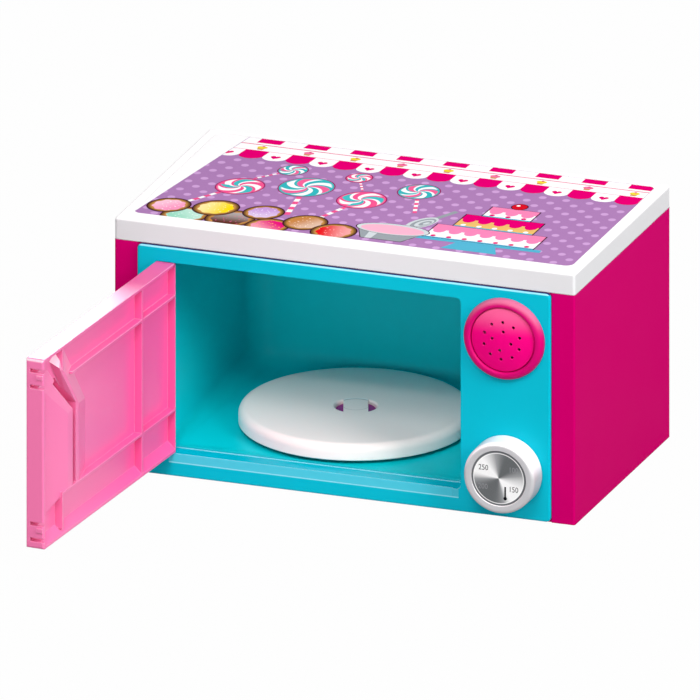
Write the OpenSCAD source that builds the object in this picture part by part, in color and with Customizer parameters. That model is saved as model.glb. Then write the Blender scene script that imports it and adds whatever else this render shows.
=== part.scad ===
// Toy kitchen oven with a side-hinged door, a turntable, a click knob and a sound button.
// Millimetres. +Z is up, the front faces -Y, and the origin is the centre of the base.
// Depths on the front are counted backwards from the face of the front panel.

/* [Case] */
// Width of the case
body_w = 300; // [290:1:330]
// Depth of the case, without the front panel
body_d = 170.5; // [169:0.5:200]
// Height of the case under the top slab
case_h = 149.6; // [149:0.2:165]
// Height of the top slab
slab_h = 14; // [11:0.5:20]
// Wall of the case
wall = 2.5; // [2:0.1:3]
// Thickness of the case's front frame
frame_t = 2.5; // [2:0.1:3.5]
// Thickness of the base plate
base_t = 2.4; // [2:0.1:3]
// Radius of the case's upright corners
case_r = 1.2; // [1:0.1:5]
// Radius of the slab's upper edge
slab_edge_r = 1.6; // [1:0.2:4]
// Wall of the top slab
slab_wall = 2.2; // [1.8:0.1:3]

/* [Top label] */
// Width of the printed label on the slab
label_w = 286; // [250:1:288]
// Depth of the printed label
label_d = 152; // [120:1:158]
// Thickness of the printed label
label_t = 0.3; // [0.2:0.05:0.6]
// Corner radius of the label
label_r = 5; // [2:0.5:10]

/* [Front panel] */
// Strip of the case that shows left and right of the panel
panel_margin = 15.4; // [14:0.2:18]
// How far the panel stands out of the case's front
panel_proud = 2; // [1:0.2:3]
// How deep the panel sits in the case's front
panel_sink = 1; // [0.6:0.1:1.6]
// Gap under and over the panel
panel_gap = 0.5; // [0.3:0.1:1]
// Corner radius of the panel
panel_r = 3; // [2:0.5:5]
// Radius of the panel's front edge
panel_edge_r = 1.2; // [0.6:0.1:1.6]

/* [Oven opening] */
// Left jamb, from the left side of the case
opening_x = 27.4; // [27:0.1:32]
// Sill, above the table
opening_z = 15.1; // [14.5:0.1:20]
// Width of the front right of the opening
column_w = 73.7; // [72:0.1:80]
// Height of the front over the opening
lintel_h = 10.2; // [9.8:0.1:20]
// Corner radius of the opening
opening_r = 3; // [2.8:0.1:5]
// Wall round the door's recess
recess_wall = 2.2; // [1.8:0.1:2.6]
// Width of the stop that the door closes against
stop_w = 3; // [2:0.1:4]
// Height of the stop above the sill
sill_stop = 0.5; // [0.3:0.1:1.5]
// Thickness of the stop
stop_t = 2; // [1.5:0.1:3]

/* [Liner] */
// Wall of the oven liner
liner_wall = 1.8; // [1.5:0.1:2.4]
// Gap between the liner and the back of the case
liner_back_gap = 2; // [1:0.5:8]
// Radius of the liner's inner corners
liner_r = 14; // [8:1:16]
// Width of the flange at the liner's mouth
flange_w = 5; // [4.5:0.5:5.5]

/* [Door] */
// Thickness of the door
door_t = 11.7; // [11:0.1:13]
// Gap at the door's top, bottom and free end
door_gap = 0.4; // [0.3:0.1:0.8]
// Extra gap at the free end, for the latch tongues
latch_gap = 0.9; // [0.8:0.1:2]
// How far the closed door stands out of the panel
door_proud = 0.6; // [0.2:0.1:1]
// Radius of the hinge edge, which is centred on the pins on the outer side
hinge_r = 3; // [2.8:0.1:3.4]
// Radius of the hinge pins
pin_r = 1.75; // [1.5:0.05:2]
// Length of the hinge pins
pin_l = 3.6; // [3:0.1:4]
// Angle of the open door, as modelled
door_open = 94.6; // [60:0.2:100]
// Depth of the tray in the door's inner side
tray_depth = 5.2; // [4:0.1:5.4]
// Width of the rim round the tray
tray_rim = 1.8; // [1.6:0.1:3]
// Depth of the window recess in the door's outer side
window_depth = 4.2; // [3:0.1:4.4]
// Border of the window recess
window_border = 17; // [14:0.5:24]
// Thickness of the ribs
rib_t = 1.6; // [1.2:0.1:2.2]
// Distance of the first upright rib from the free end
rib_far = 146; // [120:0.5:150]
// Distance of the second upright rib from the free end
rib_near = 29; // [27:0.5:30]
// Distance of the lower rib from the bottom edge
rib_low = 26.8; // [24:0.2:29]
// Distance of the upper rib from the top edge
rib_high = 22.6; // [18:0.2:24]
// Wall of the finger pockets
grip_wall = 1.6; // [1.3:0.1:2]
// Width of the finger pocket beside the free end
pocket_w = 41.6; // [38:0.2:44]
// Width of the hollow back of the grip bar
bar_w = 4.6; // [4:0.2:6]
// Width of the thumb pocket
thumb_w = 24; // [20:0.5:26]
// Distance of the grip's bend from the top edge
grip_drop = 43.9; // [43:0.1:55]

/* [Turntable] */
// Radius of the plate
plate_r = 72; // [60:0.5:73]
// Height of the plate
plate_h = 10.4; // [9:0.1:11]
// Radius of the plate's upper edge
plate_edge_r = 5; // [3:0.5:6]
// Wall of the plate
plate_wall = 2; // [1.6:0.1:2.6]
// Distance of the plate's centre behind the case's front
plate_y = 83.6; // [82:0.2:86]
// Gap between the plate and the floor
plate_lift = 2.4; // [2:0.1:5]
// Radius of the hole in the plate's middle
grip_hole_r = 12.8; // [11:0.1:15]
// Width of the bar across the hole
grip_bar_w = 15.3; // [13:0.1:17]
// Angle of the bar, as modelled
bar_angle = 20; // [0:1:90]
// Thickness of the bar
grip_bar_t = 2.4; // [2:0.1:3]

/* [Sound button] */
// Centre of the button, from the right side of the case
button_x = 45; // [44:0.5:48]
// Centre of the button, below the top of the case
button_drop = 32.6; // [32:0.1:40]
// Outer radius of the bezel
bezel_r = 26.3; // [25.5:0.1:28]
// How far the bezel stands out of the panel
bezel_h = 4.7; // [4:0.1:6]
// Outer radius of the bezel's collar
collar_r = 23.2; // [22.8:0.1:24]
// Radius of the cap
cap_r = 20.6; // [19.5:0.1:21]
// Height of the cap's dome
cap_dome = 2.8; // [1.5:0.1:4]
// Wall of the cap
cap_wall = 1.6; // [1.3:0.1:2]
// Travel of the button
button_travel = 2.5; // [1.5:0.1:2.6]
// Radius of the sound holes
sound_hole_r = 1; // [0.7:0.1:1.2]
// Radius of the speaker
speaker_r = 11.5; // [10:0.5:12]
// Wire of the return spring
spring_wire = 0.8; // [0.5:0.1:1]
// Turns of the return spring
spring_turns = 4; // [3:1:6]
// Depth of the sound housing behind the panel
housing_l = 24; // [23:0.5:30]

/* [Knob] */
// Centre of the knob, from the right side of the case
knob_x = 43.5; // [42:0.5:48]
// Centre of the knob, above the table
knob_z = 31; // [29:0.5:36]
// Radius of the knob
knob_r = 23.2; // [20:0.1:24]
// How far the knob stands out of the panel
knob_h = 15; // [12:0.5:18]
// Radius of the dial
dial_r = 17.6; // [15:0.1:18]
// Thickness of the dial
dial_t = 0.8; // [0.5:0.1:1.2]
// Radius of the knob's shaft
shaft_r = 4; // [3:0.1:5]
// Number of clicks in a turn
clicks = 12; // [8:1:16]

/* [Batteries] */
// Radius of a cell
cell_r = 7.2; // [5:0.05:7.3]
// Length of a cell
cell_l = 50.5; // [44:0.5:51]

/* [Hidden] */
$fn = 64;
eps = 0.01;

// Running and standing clearances
fit = 0.3;
run_fit = 0.06;
slack = 0.05;

// Places shared by the pieces
left = -body_w / 2;
right = body_w / 2;
front = -body_d / 2;
back = body_d / 2;
face = front - panel_proud;
panel_t = panel_proud + panel_sink;
panel_half = body_w / 2 - panel_margin;
ledge = panel_sink + frame_t;
inner_x = body_w / 2 - wall;
inner_back = back - wall;
inner_front = front + ledge;
rail_z = 4.5;

// Oven opening, its recess and the mouth behind it
opening_w = body_w - opening_x - column_w;
opening_h = case_h - opening_z - lintel_h;
open_cx = left + opening_x + opening_w / 2;
open_cz = opening_z + opening_h / 2;
open_top = opening_z + opening_h;
seat = door_t - door_proud + 0.2;
mouth_y = face + seat + stop_t;
mouth_w = opening_w - 2 * stop_w;
mouth_h = opening_h - stop_w - sill_stop;
mouth_cz = opening_z + sill_stop + mouth_h / 2;
mouth_r = 4;
sill_bevel_h = 5.4;
sill_bevel_t = 1.2;
hinge_corner_r = 1;

// Door, in its own frame: the hinge axis is the origin and the closed door runs along +X
jamb_gap = 0.6;
hinge_x = left + opening_x + jamb_gap + hinge_r;
hinge_y = face - door_proud + hinge_r;
door_end = opening_w - jamb_gap - hinge_r - door_gap - latch_gap;
door_z = opening_z + door_gap;
door_h = opening_h - 2 * door_gap;
door_out = -hinge_r;
door_in = door_t - hinge_r;
tray_floor = door_in - tray_depth;
end_wall = 2.4;
door_corner_r = 2;
tray_slope = 5;
latch_h = [5.9, door_h - 18];

// Grip of the door, as distances from the free end and heights above the lower edge
grip_top = door_in - 0.4;
f_start = end_wall - 0.4;
f_bar = f_start + pocket_w + 0.6;
f_thumb = f_bar + bar_w;
f_end = f_thumb + thumb_w;
h_low = rib_low + rib_t;
h_mid = door_h - grip_drop;
ridge_w = 4;
groove_run = 22.5;

// Label on the top panel
label_off = 3.5;
label_gap = 0.15;
label_sink = 0.2;
slab_r = max(case_r, slab_edge_r + 0.2);

// Screws: root radius of the thread, head and pilot hole
thread_r = 1.2;
pilot_r = thread_r + slack;
through_r = 1.6;
head_r = 2.7;
head_h = 1.6;
washer_head_r = 3.8;
base_screw_l = 11;
hub_screw_l = 9;
knob_screw_l = 9;
liner_screw_l = 8;
housing_screw_l = 7;
hatch_screw_l = 7;
box_screw_l = 5.5;

// Corner bosses for the base screws and corner shelves for the lid screws
corner_boss_r = 4.3;
corner_inset = 4;
base_cup_h = 4.4;
base_boss_h = 14;
shelf_inset = 5.5;
shelf_r = shelf_inset + 1.5;
shelf_t = 3;
lid_screw_l = 9;

// Liner screws: bosses beside the door's recess
liner_boss_r = 3.3;
liner_screw_off = opening_w / 2 + recess_wall + liner_boss_r - 0.2;
liner_screws_at = [for (s = [-1, 1], z = [-27, 7]) [open_cx + s * liner_screw_off, open_cz + z]];
flange_t = 2;

// Sound button and its housing
but_x = right - button_x;
but_z = case_h - button_drop;
bezel_edge_r = 3.6;
bore_gap = 0.25;
cap_gap = 0.35;
cap_edge = 3.4;
collar_end = panel_t + 4.1;
cap_flange_r = cap_r + 1.8;
cap_flange_t = 1.6;
cap_stop = collar_end + slack;
dome_r = (cap_r * cap_r + cap_dome * cap_dome) / (2 * cap_dome);
spring_r = speaker_r + 2.7;
housing_in = collar_r + 1;
housing_out = housing_in + 1.2;
housing_q = panel_t + 0.2;
housing_end = panel_t + housing_l;
ear_q = panel_t + 5;
ear_angles = [-45, 45, 135];
ear_r = housing_out + 3.5;
spring_q = -cap_edge + 0.9;
sound_holes = concat(
    [for (i = [0:9]) 12 * [cos(15.5 + 36 * i), sin(15.5 + 36 * i)]],
    [for (i = [0:3]) 6.2 * [cos(-11 + 90 * i), sin(-11 + 90 * i)]]);
speaker_q = panel_t + 9.6;
tube_flange_q = speaker_q - 0.6;
board_q = speaker_q + 4.4;
switch_z = spring_r + 3.4;
switch_h = 3.5;
plunger_q = board_q - switch_h - 1;

// Knob
kn_x = right - knob_x;
kn_z = knob_z;
dial_sink = 1.2;
bearing_q = panel_t + 3;
wheel_r = 11;
wheel_t = 4;
wheel_q = bearing_q + 0.1;
shaft_end_r = shaft_r - 1;
washer_t = 0.8;
pawl_x = 14;

// Panel screws: places on the front, as [x, z]
edge_inset = 4.4;
low_inset = 6.6;
panel_boss_r = 2.6;
panel_screw_l = ledge + 0.8;
panel_screws_at = [
    [-panel_half + edge_inset, opening_z + 15], [-panel_half + edge_inset, case_h - 31.6],
    [panel_half - edge_inset, kn_z - 11], [panel_half - edge_inset, (but_z + kn_z) / 2 + 2],
    [open_cx - 37, low_inset], [open_cx + 53, low_inset],
];

// Turntable
tt_x = open_cx;
tt_y = front + plate_y;
floor_z = opening_z + sill_stop;
plate_z = floor_z + plate_lift;
hub_flange_t = 1.4;
hub_flange_r = grip_hole_r + 2.4;
spindle_r = grip_hole_r - run_fit;
spindle_top = plate_z + plate_h - grip_bar_t - slack;

// Batteries, in a box on the base plate
cell_gap = 0.3;
box_wall = 1.5;
contact_room = 4;
box_w = 4 * cell_r + 4 * cell_gap + 3 * box_wall;
box_l = cell_l + 2 * contact_room + 2 * box_wall;
box_x = right - wall - 10 - box_w / 2;
box_y = 30;
box_top = base_t + 2 * cell_r + 2 * cell_gap + box_wall;
cell_z = base_t + cell_r + cell_gap;
hatch_t = 1.3;
hatch_rim = 2;
hatch_tail = 13;
hatch_screw_y = box_y - box_l / 2 - 8;
hatch_cup_r = 4.2;
hatch_cup_h = 2.9;
box_ear = 4;
inner_half = box_l / 2 - box_wall;
nub_gap = 1.5;
contact_half = 5;
contact_t = 0.4;

// Points on an arc, from angle a0 to a1 in n steps
function arc(cx, cy, r, a0, a1, n) =
    [for (i = [0:n]) let (a = a0 + (a1 - a0) * i / n) [cx + r * cos(a), cy + r * sin(a)]];

// Rounded rectangle, centred
module rrect(w, h, r) {
    square([w - 2 * r, h], center = true);
    square([w, h - 2 * r], center = true);
    for (x = [-1, 1], y = [-1, 1]) {
        translate([x * (w / 2 - r), y * (h / 2 - r)]) circle(r);
    }
}

// An outline drawn in X and Z, extruded backwards from depth y0
module from_front(y0, t) {
    translate([0, y0 + t, 0]) rotate([90, 0, 0]) linear_extrude(t) children();
}

// A rod along Y, from depth y0
module rod_y(x, z, r, y0, l) {
    translate([x, y0 + l, z]) rotate([90, 0, 0]) cylinder(r = r, h = l);
}

// A profile of [radius, depth behind the panel's face], turned about an axis along Y
module turn_y(x, z) {
    translate([x, face, z]) rotate([-90, 0, 0]) rotate_extrude() children();
}

// Round corner of a plate whose edge at height 0 is rounded
module puck(r, t, edge) {
    rotate_extrude($fn = 32)
        polygon(concat([[0, 0]], arc(r - edge, edge, edge, -90, 0, 4), [[r, t], [0, t]]));
}

// Self-tapping screw along +Z: the head lies under the plane Z = 0, and the shank rises from it
module screw(l, head = head_r) {
    difference() {
        rotate_extrude($fn = 24) polygon([
            [0, -head_h], [head - 0.7, -head_h], [head, -head_h + 0.7], [head, 0],
            [thread_r, 0], [thread_r, l - 1.2], [0.3, l], [0, l],
        ]);
        for (a = [0, 90]) {
            rotate(a) translate([-1.4, -0.35, -head_h - 1]) cube([2.8, 0.7, 1.9]);
        }
    }
}

// A screw from behind, whose head lies on depth y0
module screw_from_back(x, z, y0, l, head = head_r) {
    translate([x, y0, z]) rotate([90, 0, 0]) screw(l, head);
}

module at_corners(inset) {
    for (x = [-1, 1], y = [inner_front + inset, inner_back - inset]) {
        translate([x * (inner_x - inset), y, 0]) children();
    }
}

// Lug of the case behind a panel screw, joined to the frame's nearest strip
module panel_lug(p) {
    side = abs(p[0]) > panel_half - 2 * edge_inset;
    reach = edge_inset + panel_boss_r + 1;
    x0 = side ? (p[0] > 0 ? panel_half - reach : -panel_half - 1) : p[0] - 7;
    z0 = side ? p[1] - 6 : rail_z - 1;
    size = side ? [reach + 1, frame_t, 12] : [14, frame_t, p[1] + 4.6 - z0];
    translate([x0, front + panel_sink, z0]) cube(size);
}

module case_shell() color("mediumvioletred") difference() {
    window_x = panel_half - 2.5;
    union() {
        difference() {
            linear_extrude(case_h) rrect(body_w, body_d, case_r);
            translate([-inner_x, inner_front, -1])
                cube([2 * inner_x, inner_back - inner_front, case_h + 2]);
            translate([-panel_half - fit, front - 1, -1])
                cube([2 * (panel_half + fit), panel_sink + 1, case_h + 2]);
            translate([-window_x, front - 1, rail_z])
                cube([2 * window_x, ledge + 2, case_h - rail_z - 3.5]);
        }
        for (p = panel_screws_at) panel_lug(p);
        at_corners(corner_inset)
            translate([0, 0, base_cup_h]) cylinder(r = corner_boss_r, h = base_boss_h);
        at_corners(shelf_inset)
            translate([0, 0, case_h - shelf_t]) cylinder(r = shelf_r, h = shelf_t);
    }
    for (p = panel_screws_at) rod_y(p[0], p[1], panel_boss_r + fit, front, ledge + 1);
    at_corners(corner_inset)
        translate([0, 0, base_cup_h - 1]) cylinder(r = pilot_r, h = base_boss_h);
    at_corners(shelf_inset)
        translate([0, 0, case_h - shelf_t - 1]) cylinder(r = through_r, h = shelf_t + 2);
}

module base_plate() color("mediumvioletred") difference() {
    px = inner_x - fit;
    y0 = inner_front + fit;
    y1 = inner_back - fit;
    pad_y = mouth_y + 20;
    hatch_l = box_l + 2 * hatch_rim + hatch_tail;
    union() {
        translate([-px, y0, 0]) cube([2 * px, y1 - y0, base_t]);
        // cups for the base screws
        at_corners(corner_inset) cylinder(r = 3.6, h = base_cup_h - slack);
        // posts under the liner
        for (x = [-60, 60], y = [pad_y, tt_y + 45]) {
            translate([tt_x + x, y, 0]) cylinder(r = 3.5, h = floor_z - liner_wall - fit);
        }
        // stiffening ribs
        for (x = [-110, -70, 15, 55]) {
            translate([x, y0 + 8, 0]) cube([rib_t, y1 - y0 - 16, base_t + 3]);
        }
        // boss of the hatch screw and bosses of the battery box
        translate([box_x, hatch_screw_y, 0]) cylinder(r = hatch_cup_r + 1.5, h = 10);
        for (s = [-1, 1]) translate([box_x + s * 9, box_y + s * (box_l / 2 + box_ear), 0])
            cylinder(r = 3, h = base_t + 4);
    }
    at_corners(corner_inset) {
        translate([0, 0, -1]) cylinder(r = head_r + fit, h = base_cup_h - 1);
        cylinder(r = through_r, h = base_cup_h + 2);
    }
    // battery opening with a ledge for its hatch
    translate([box_x - box_w / 2 + box_wall, box_y - box_l / 2 + box_wall, -1])
        cube([box_w - 2 * box_wall, box_l - 2 * box_wall, base_t + 2]);
    translate([box_x - box_w / 2 - hatch_rim, box_y - box_l / 2 - hatch_rim - hatch_tail, -1])
        cube([box_w + 2 * hatch_rim, hatch_l, hatch_t + 1]);
    translate([box_x, hatch_screw_y, -1]) cylinder(r = hatch_cup_r + fit, h = hatch_cup_h + 1 + slack);
    translate([box_x, hatch_screw_y, 0]) cylinder(r = pilot_r, h = 9.2);
    // slots of the hatch's tongues
    for (s = [-1, 1]) translate([box_x + s * 9 - 3.3, box_y + box_l / 2 + hatch_rim - 1, 0.3])
        cube([6.6, 3.4, 0.8]);
    for (s = [-1, 1]) translate([box_x + s * 9, box_y + s * (box_l / 2 + box_ear), base_t])
        cylinder(r = pilot_r, h = base_t + 4);
}

module slab_shape() {
    hull() for (x = [-1, 1], y = [-1, 1]) {
        translate([x * (body_w / 2 - slab_r), y * (body_d / 2 - slab_r), case_h + slab_h])
            mirror([0, 0, 1]) puck(slab_r, slab_h, slab_edge_r);
    }
}

module top_panel() color("white") difference() {
    top = case_h + slab_h;
    room = slab_h - slab_wall;
    hx = body_w / 2 - slab_wall;
    hy = body_d / 2 - slab_wall;
    union() {
        difference() {
            slab_shape();
            translate([-hx, -hy, case_h - 1]) cube([2 * hx, 2 * hy, room + 1]);
        }
        at_corners(shelf_inset) translate([0, 0, case_h]) cylinder(r = 3.8, h = room + 0.5);
        for (k = [-0.6, -0.2, 0.2, 0.6]) {
            translate([k * hx, -hy - 0.5, top - slab_wall - 5]) cube([rib_t, 2 * hy + 1, 5.5]);
        }
        for (k = [-0.5, 0.5]) {
            translate([-hx - 0.5, k * hy, top - slab_wall - 5]) cube([2 * hx + 1, rib_t, 5.5]);
        }
    }
    translate([0, label_off, top - label_t - label_sink])
        linear_extrude(slab_h) rrect(label_w, label_d, label_r);
    at_corners(shelf_inset) translate([0, 0, case_h - 1]) cylinder(r = pilot_r, h = room);
}

module top_label() color("mediumpurple") {
    translate([0, label_off, case_h + slab_h - label_t - label_sink])
        linear_extrude(label_t)
        rrect(label_w - 2 * label_gap, label_d - 2 * label_gap, label_r - label_gap);
}

// Boss on the back of the panel, down to depth q1 behind the face
module panel_boss(x, z, r, q1) {
    rod_y(x, z, r, face + panel_t - 0.5, q1 - panel_t + 0.5);
}

module front_panel() color("darkturquoise") difference() {
    panel_z0 = panel_gap;
    panel_z1 = case_h - panel_gap;
    union() {
        translate([0, face, 0]) hull() for (x = [-1, 1], z = [panel_z0 + panel_r, panel_z1 - panel_r]) {
            translate([x * (panel_half - panel_r), 0, z])
                rotate([-90, 0, 0]) puck(panel_r, panel_t, panel_edge_r);
        }
        from_front(face + panel_edge_r, mouth_y - face - panel_edge_r) translate([open_cx, open_cz])
            rrect(opening_w + 2 * recess_wall, opening_h + 2 * recess_wall, opening_r + recess_wall);
        for (p = panel_screws_at) panel_boss(p[0], p[1], panel_boss_r, panel_t + frame_t - 0.2);
        for (p = liner_screws_at) panel_boss(p[0], p[1], liner_boss_r, mouth_y - face);
        // sockets of the hinge pins
        for (z = [open_top, opening_z - recess_wall - 2.4]) {
            translate([hinge_x - 4, face + 1, z]) cube([8, hinge_r + 3.2, recess_wall + 2.4]);
        }
        // bosses of the sound housing, bearing of the knob and posts of its pawl
        for (a = ear_angles) {
            panel_boss(but_x + ear_r * cos(a), but_z + ear_r * sin(a), 3.2, ear_q);
        }
        panel_boss(kn_x, kn_z, shaft_r + 2.6, bearing_q);
        for (s = [-1, 1]) panel_boss(kn_x + s * pawl_x, kn_z + wheel_r + 1, 1.8, wheel_q + wheel_t);
    }
    // door recess, mouth and the bevel of the sill
    from_front(face - 1, seat + 1) translate([open_cx, open_cz]) {
        rrect(opening_w, opening_h, opening_r);
        translate([2 * opening_r - opening_w / 2, 0]) rrect(4 * opening_r, opening_h, hinge_corner_r);
    }
    from_front(face, mouth_y - face + 1) translate([open_cx, mouth_cz]) rrect(mouth_w, mouth_h, mouth_r);
    translate([hinge_x + 5, 0, 0]) rotate([90, 0, 90]) linear_extrude(opening_w - 14) polygon([
        [face - 1, opening_z - sill_bevel_h], [face, opening_z - sill_bevel_h],
        [face + sill_bevel_t, opening_z + 0.2], [face - 1, opening_z + 0.2],
    ]);
    translate([hinge_x, hinge_y, opening_z - recess_wall - 3])
        cylinder(r = pin_r + run_fit, h = opening_h + 2 * recess_wall + 6);
    for (p = panel_screws_at) rod_y(p[0], p[1], pilot_r, front - 1.1, ledge + 1);
    for (p = liner_screws_at) {
        rod_y(p[0], p[1], pilot_r, mouth_y + flange_t - liner_screw_l - 1, liner_screw_l);
    }
    for (a = ear_angles) {
        rod_y(but_x + ear_r * cos(a), but_z + ear_r * sin(a), pilot_r, face + 1.6, ear_q);
    }
    rod_y(but_x, but_z, collar_r + bore_gap, face - 1, panel_t + 2);
    rod_y(kn_x, kn_z, shaft_r + run_fit, face - 1, bearing_q + 2);
}

// Rounded box behind the mouth: the mouth's corners are small and the back corners are large
module liner_room(grow, y0, y1, r) {
    w = mouth_w + 2 * grow;
    h = mouth_h + 2 * grow;
    hull() {
        translate([open_cx, 0, mouth_cz]) for (x = [-1, 1], z = [-1, 1]) {
            translate([x * (w / 2 - mouth_r - grow), y0 + 0.5, z * (h / 2 - mouth_r - grow)])
                rotate([90, 0, 0]) cylinder(r = mouth_r + grow, h = 0.5, $fn = 32);
            translate([x * (w / 2 - r), y1 - r, z * (h / 2 - r)])
                rotate_extrude($fn = 32) polygon(arc(0, 0, r, -90, 90, 16));
        }
    }
}

module oven_liner() color("teal") difference() {
    back_y = inner_back - liner_back_gap;
    union() {
        liner_room(liner_wall, mouth_y, back_y, liner_r + liner_wall);
        from_front(mouth_y, flange_t) {
            translate([open_cx, mouth_cz])
                rrect(mouth_w + 2 * flange_w, mouth_h + 2 * flange_w, mouth_r + flange_w);
            for (p = liner_screws_at) translate(p) circle(liner_boss_r + 0.9);
            for (p = liner_screws_at) translate([(p[0] + sign(p[0] - open_cx) * -3), p[1]])
                square([6, 2 * liner_boss_r + 1.8], center = true);
        }
        // seat of the hub's screw under the floor
        translate([tt_x, tt_y, floor_z - liner_wall - 2.4]) cylinder(r = 7, h = 3);
    }
    liner_room(0, mouth_y - 1, back_y - liner_wall, liner_r);
    for (p = liner_screws_at) rod_y(p[0], p[1], through_r, mouth_y - 1, flange_t + 2);
    translate([tt_x, tt_y, floor_z - liner_wall - 4]) cylinder(r = through_r, h = liner_wall + 5);
}

// A point on the door's inner side: f from the free end, h above the lower edge
function on_door(p) = [door_end - p[0], door_z + p[1]];

// Outline on the door, from depth y0 to y1
module door_slice(points, y0, y1) {
    from_front(y0, y1 - y0) polygon([for (p = points) on_door(p)]);
}

// A raised field whose sides slope from its foot at depth y0 to its plateau at depth y1
module door_hump(foot, plateau, y0, y1) {
    hull() {
        door_slice(foot, y0 - 0.1, y0);
        door_slice(plateau, y1 - 0.1, y1);
    }
}

module door_blank() {
    r = hinge_r;
    e = 1;
    intersection() {
        translate([0, 0, door_z]) linear_extrude(door_h) {
            translate([0, door_out + r]) circle(r);
            translate([0, door_in - r]) circle(r);
            translate([-r, door_out + r]) square([2 * r, door_t - 2 * r]);
            translate([0, door_out]) square([door_end - e, door_t]);
            translate([door_end - 2 * e, door_out + e]) square([2 * e, door_t - 2 * e]);
            for (y = [door_out + e, door_in - e]) translate([door_end - e, y]) circle(e);
        }
        from_front(door_out - 1, door_t + 2)
            translate([(door_end - r) / 2, door_z + door_h / 2])
            rrect(door_end + r, door_h, door_corner_r);
    }
}

module door_body() {
    rib_h = door_in - tray_floor;
    tray_x0 = tray_rim + 1 - hinge_r;
    tray_x1 = door_end - end_wall;
    window_x1 = door_end - f_end - 6;
    g = grip_wall;
    tray_top = door_z + door_h - tray_rim;
    difference() {
        union() {
            difference() {
                door_blank();
                translate([tray_x0, 0, 0]) rotate([90, 0, 90]) linear_extrude(tray_x1 - tray_x0) polygon([
                    [tray_floor, door_z + tray_rim + tray_slope], [door_in, door_z + tray_rim],
                    [door_in + 1, door_z + tray_rim], [door_in + 1, tray_top], [tray_floor, tray_top],
                ]);
            }
            // ribs of the tray
            translate([door_end - rib_far - rib_t / 2, tray_floor - 0.5, door_z + 1])
                cube([rib_t, rib_h + 0.5, door_h - 2]);
            for (h = [[4.6, h_low], [h_mid + 28, door_h - 1]]) {
                translate([door_end - rib_near - rib_t / 2, tray_floor - 0.5, door_z + h[0]])
                    cube([rib_t, rib_h + 0.5, h[1] - h[0]]);
            }
            translate([0, tray_floor - 0.5, door_z + rib_low])
                cube([door_end - rib_near, rib_h + 0.5, rib_t]);
            translate([0, tray_floor - 0.5, door_z + door_h - rib_high])
                cube([door_end - rib_near - 13.5, rib_h + 0.5, rib_t]);
            // backs of the finger pocket and of the thumb pocket: ramps that rise towards the bar
            door_hump(
                [[f_start, h_low - 12], [f_bar + 1, h_low - 2], [f_bar + 1, h_mid - 1],
                    [f_bar - 28, h_mid + 32], [f_start, h_mid + 26]],
                [[f_bar - 7, h_low + 0.4], [f_bar, h_low + 0.4], [f_bar, h_mid - 2],
                    [f_bar - 7, h_mid - 2.7]],
                tray_floor, grip_top);
            door_hump(
                [[f_thumb - 1, h_low - 2], [f_end, h_low - 2], [f_end, h_mid - 5],
                    [f_thumb - 1, h_mid + 4]],
                [[f_thumb, h_low], [f_thumb + ridge_w, h_low], [f_thumb + ridge_w, h_mid - 1],
                    [f_thumb, h_mid + 1]],
                tray_floor, grip_top);
            door_hump(
                [[f_thumb - 1, h_mid - 1], [f_end, h_mid - 5], [f_end - 16.5, h_mid + 17],
                    [f_end - 27, h_mid + 31], [f_end - 36, h_mid + 42], [f_thumb - 29, h_mid + 36]],
                [[f_thumb, h_mid + 1], [f_thumb + ridge_w, h_mid - 1],
                    [f_thumb + ridge_w - 20.5, h_mid + 26], [f_thumb - 24.5, h_mid + 31]],
                tray_floor, grip_top);
            // latch bumps on the spring tongues of the free end
            for (h = latch_h) {
                translate([door_end - 1, door_in - 4.5, door_z + h + 5.2])
                    cube([1.8, 4, 2.5]);
            }
        }
        // window and pockets of the outer side
        translate([window_border - hinge_r, door_out - 1, door_z + window_border])
            cube([window_x1 - window_border + hinge_r, window_depth + 1, door_h - 2 * window_border]);
        door_hump(
            [[f_start + 4, h_low - 1], [f_bar - g, h_low - 1], [f_bar - g, h_mid - 3],
                [f_bar - 26, h_mid + 23], [f_start + 4, h_mid + 21]],
            [[f_bar - 7, h_low + 2], [f_bar - g, h_low + 2], [f_bar - g, h_mid - 5],
                [f_bar - 7, h_mid - 5]],
            door_out, grip_top - g);
        door_hump(
            [[f_thumb + g, h_low + 1], [f_end - 4, h_low + 1], [f_end - 4, h_mid - 6],
                [f_thumb + g, h_mid - 1]],
            [[f_thumb + g, h_low + g], [f_thumb + ridge_w, h_low + g], [f_thumb + ridge_w, h_mid - 3.5],
                [f_thumb + g, h_mid - 3]],
            door_out, grip_top - g);
        // hollow back of the bar between the pockets
        door_slice([[f_bar, h_low + 0.4], [f_thumb, h_low + 0.4], [f_thumb, h_mid + 1],
            [f_thumb - groove_run + 1, h_mid + groove_run + 1],
            [f_bar - groove_run, h_mid + groove_run - 1.5], [f_bar, h_mid - 2]],
            door_in - 9.4, door_in + 1);
        // slits beside the spring tongues
        for (h = latch_h, k = [0, 10.4]) {
            translate([door_end - 6, door_in - 9, door_z + h + k - 1.3]) cube([7, 10, 2.6]);
        }
    }
    for (z = [door_z - pin_l, door_z + door_h - 1]) {
        translate([0, 0, z]) cylinder(r = pin_r, h = pin_l + 1);
    }
}

module door() color("hotpink") {
    translate([hinge_x, hinge_y, 0]) rotate(-door_open) door_body();
}

module at_turntable(z) {
    translate([tt_x, tt_y, z]) children();
}

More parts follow.
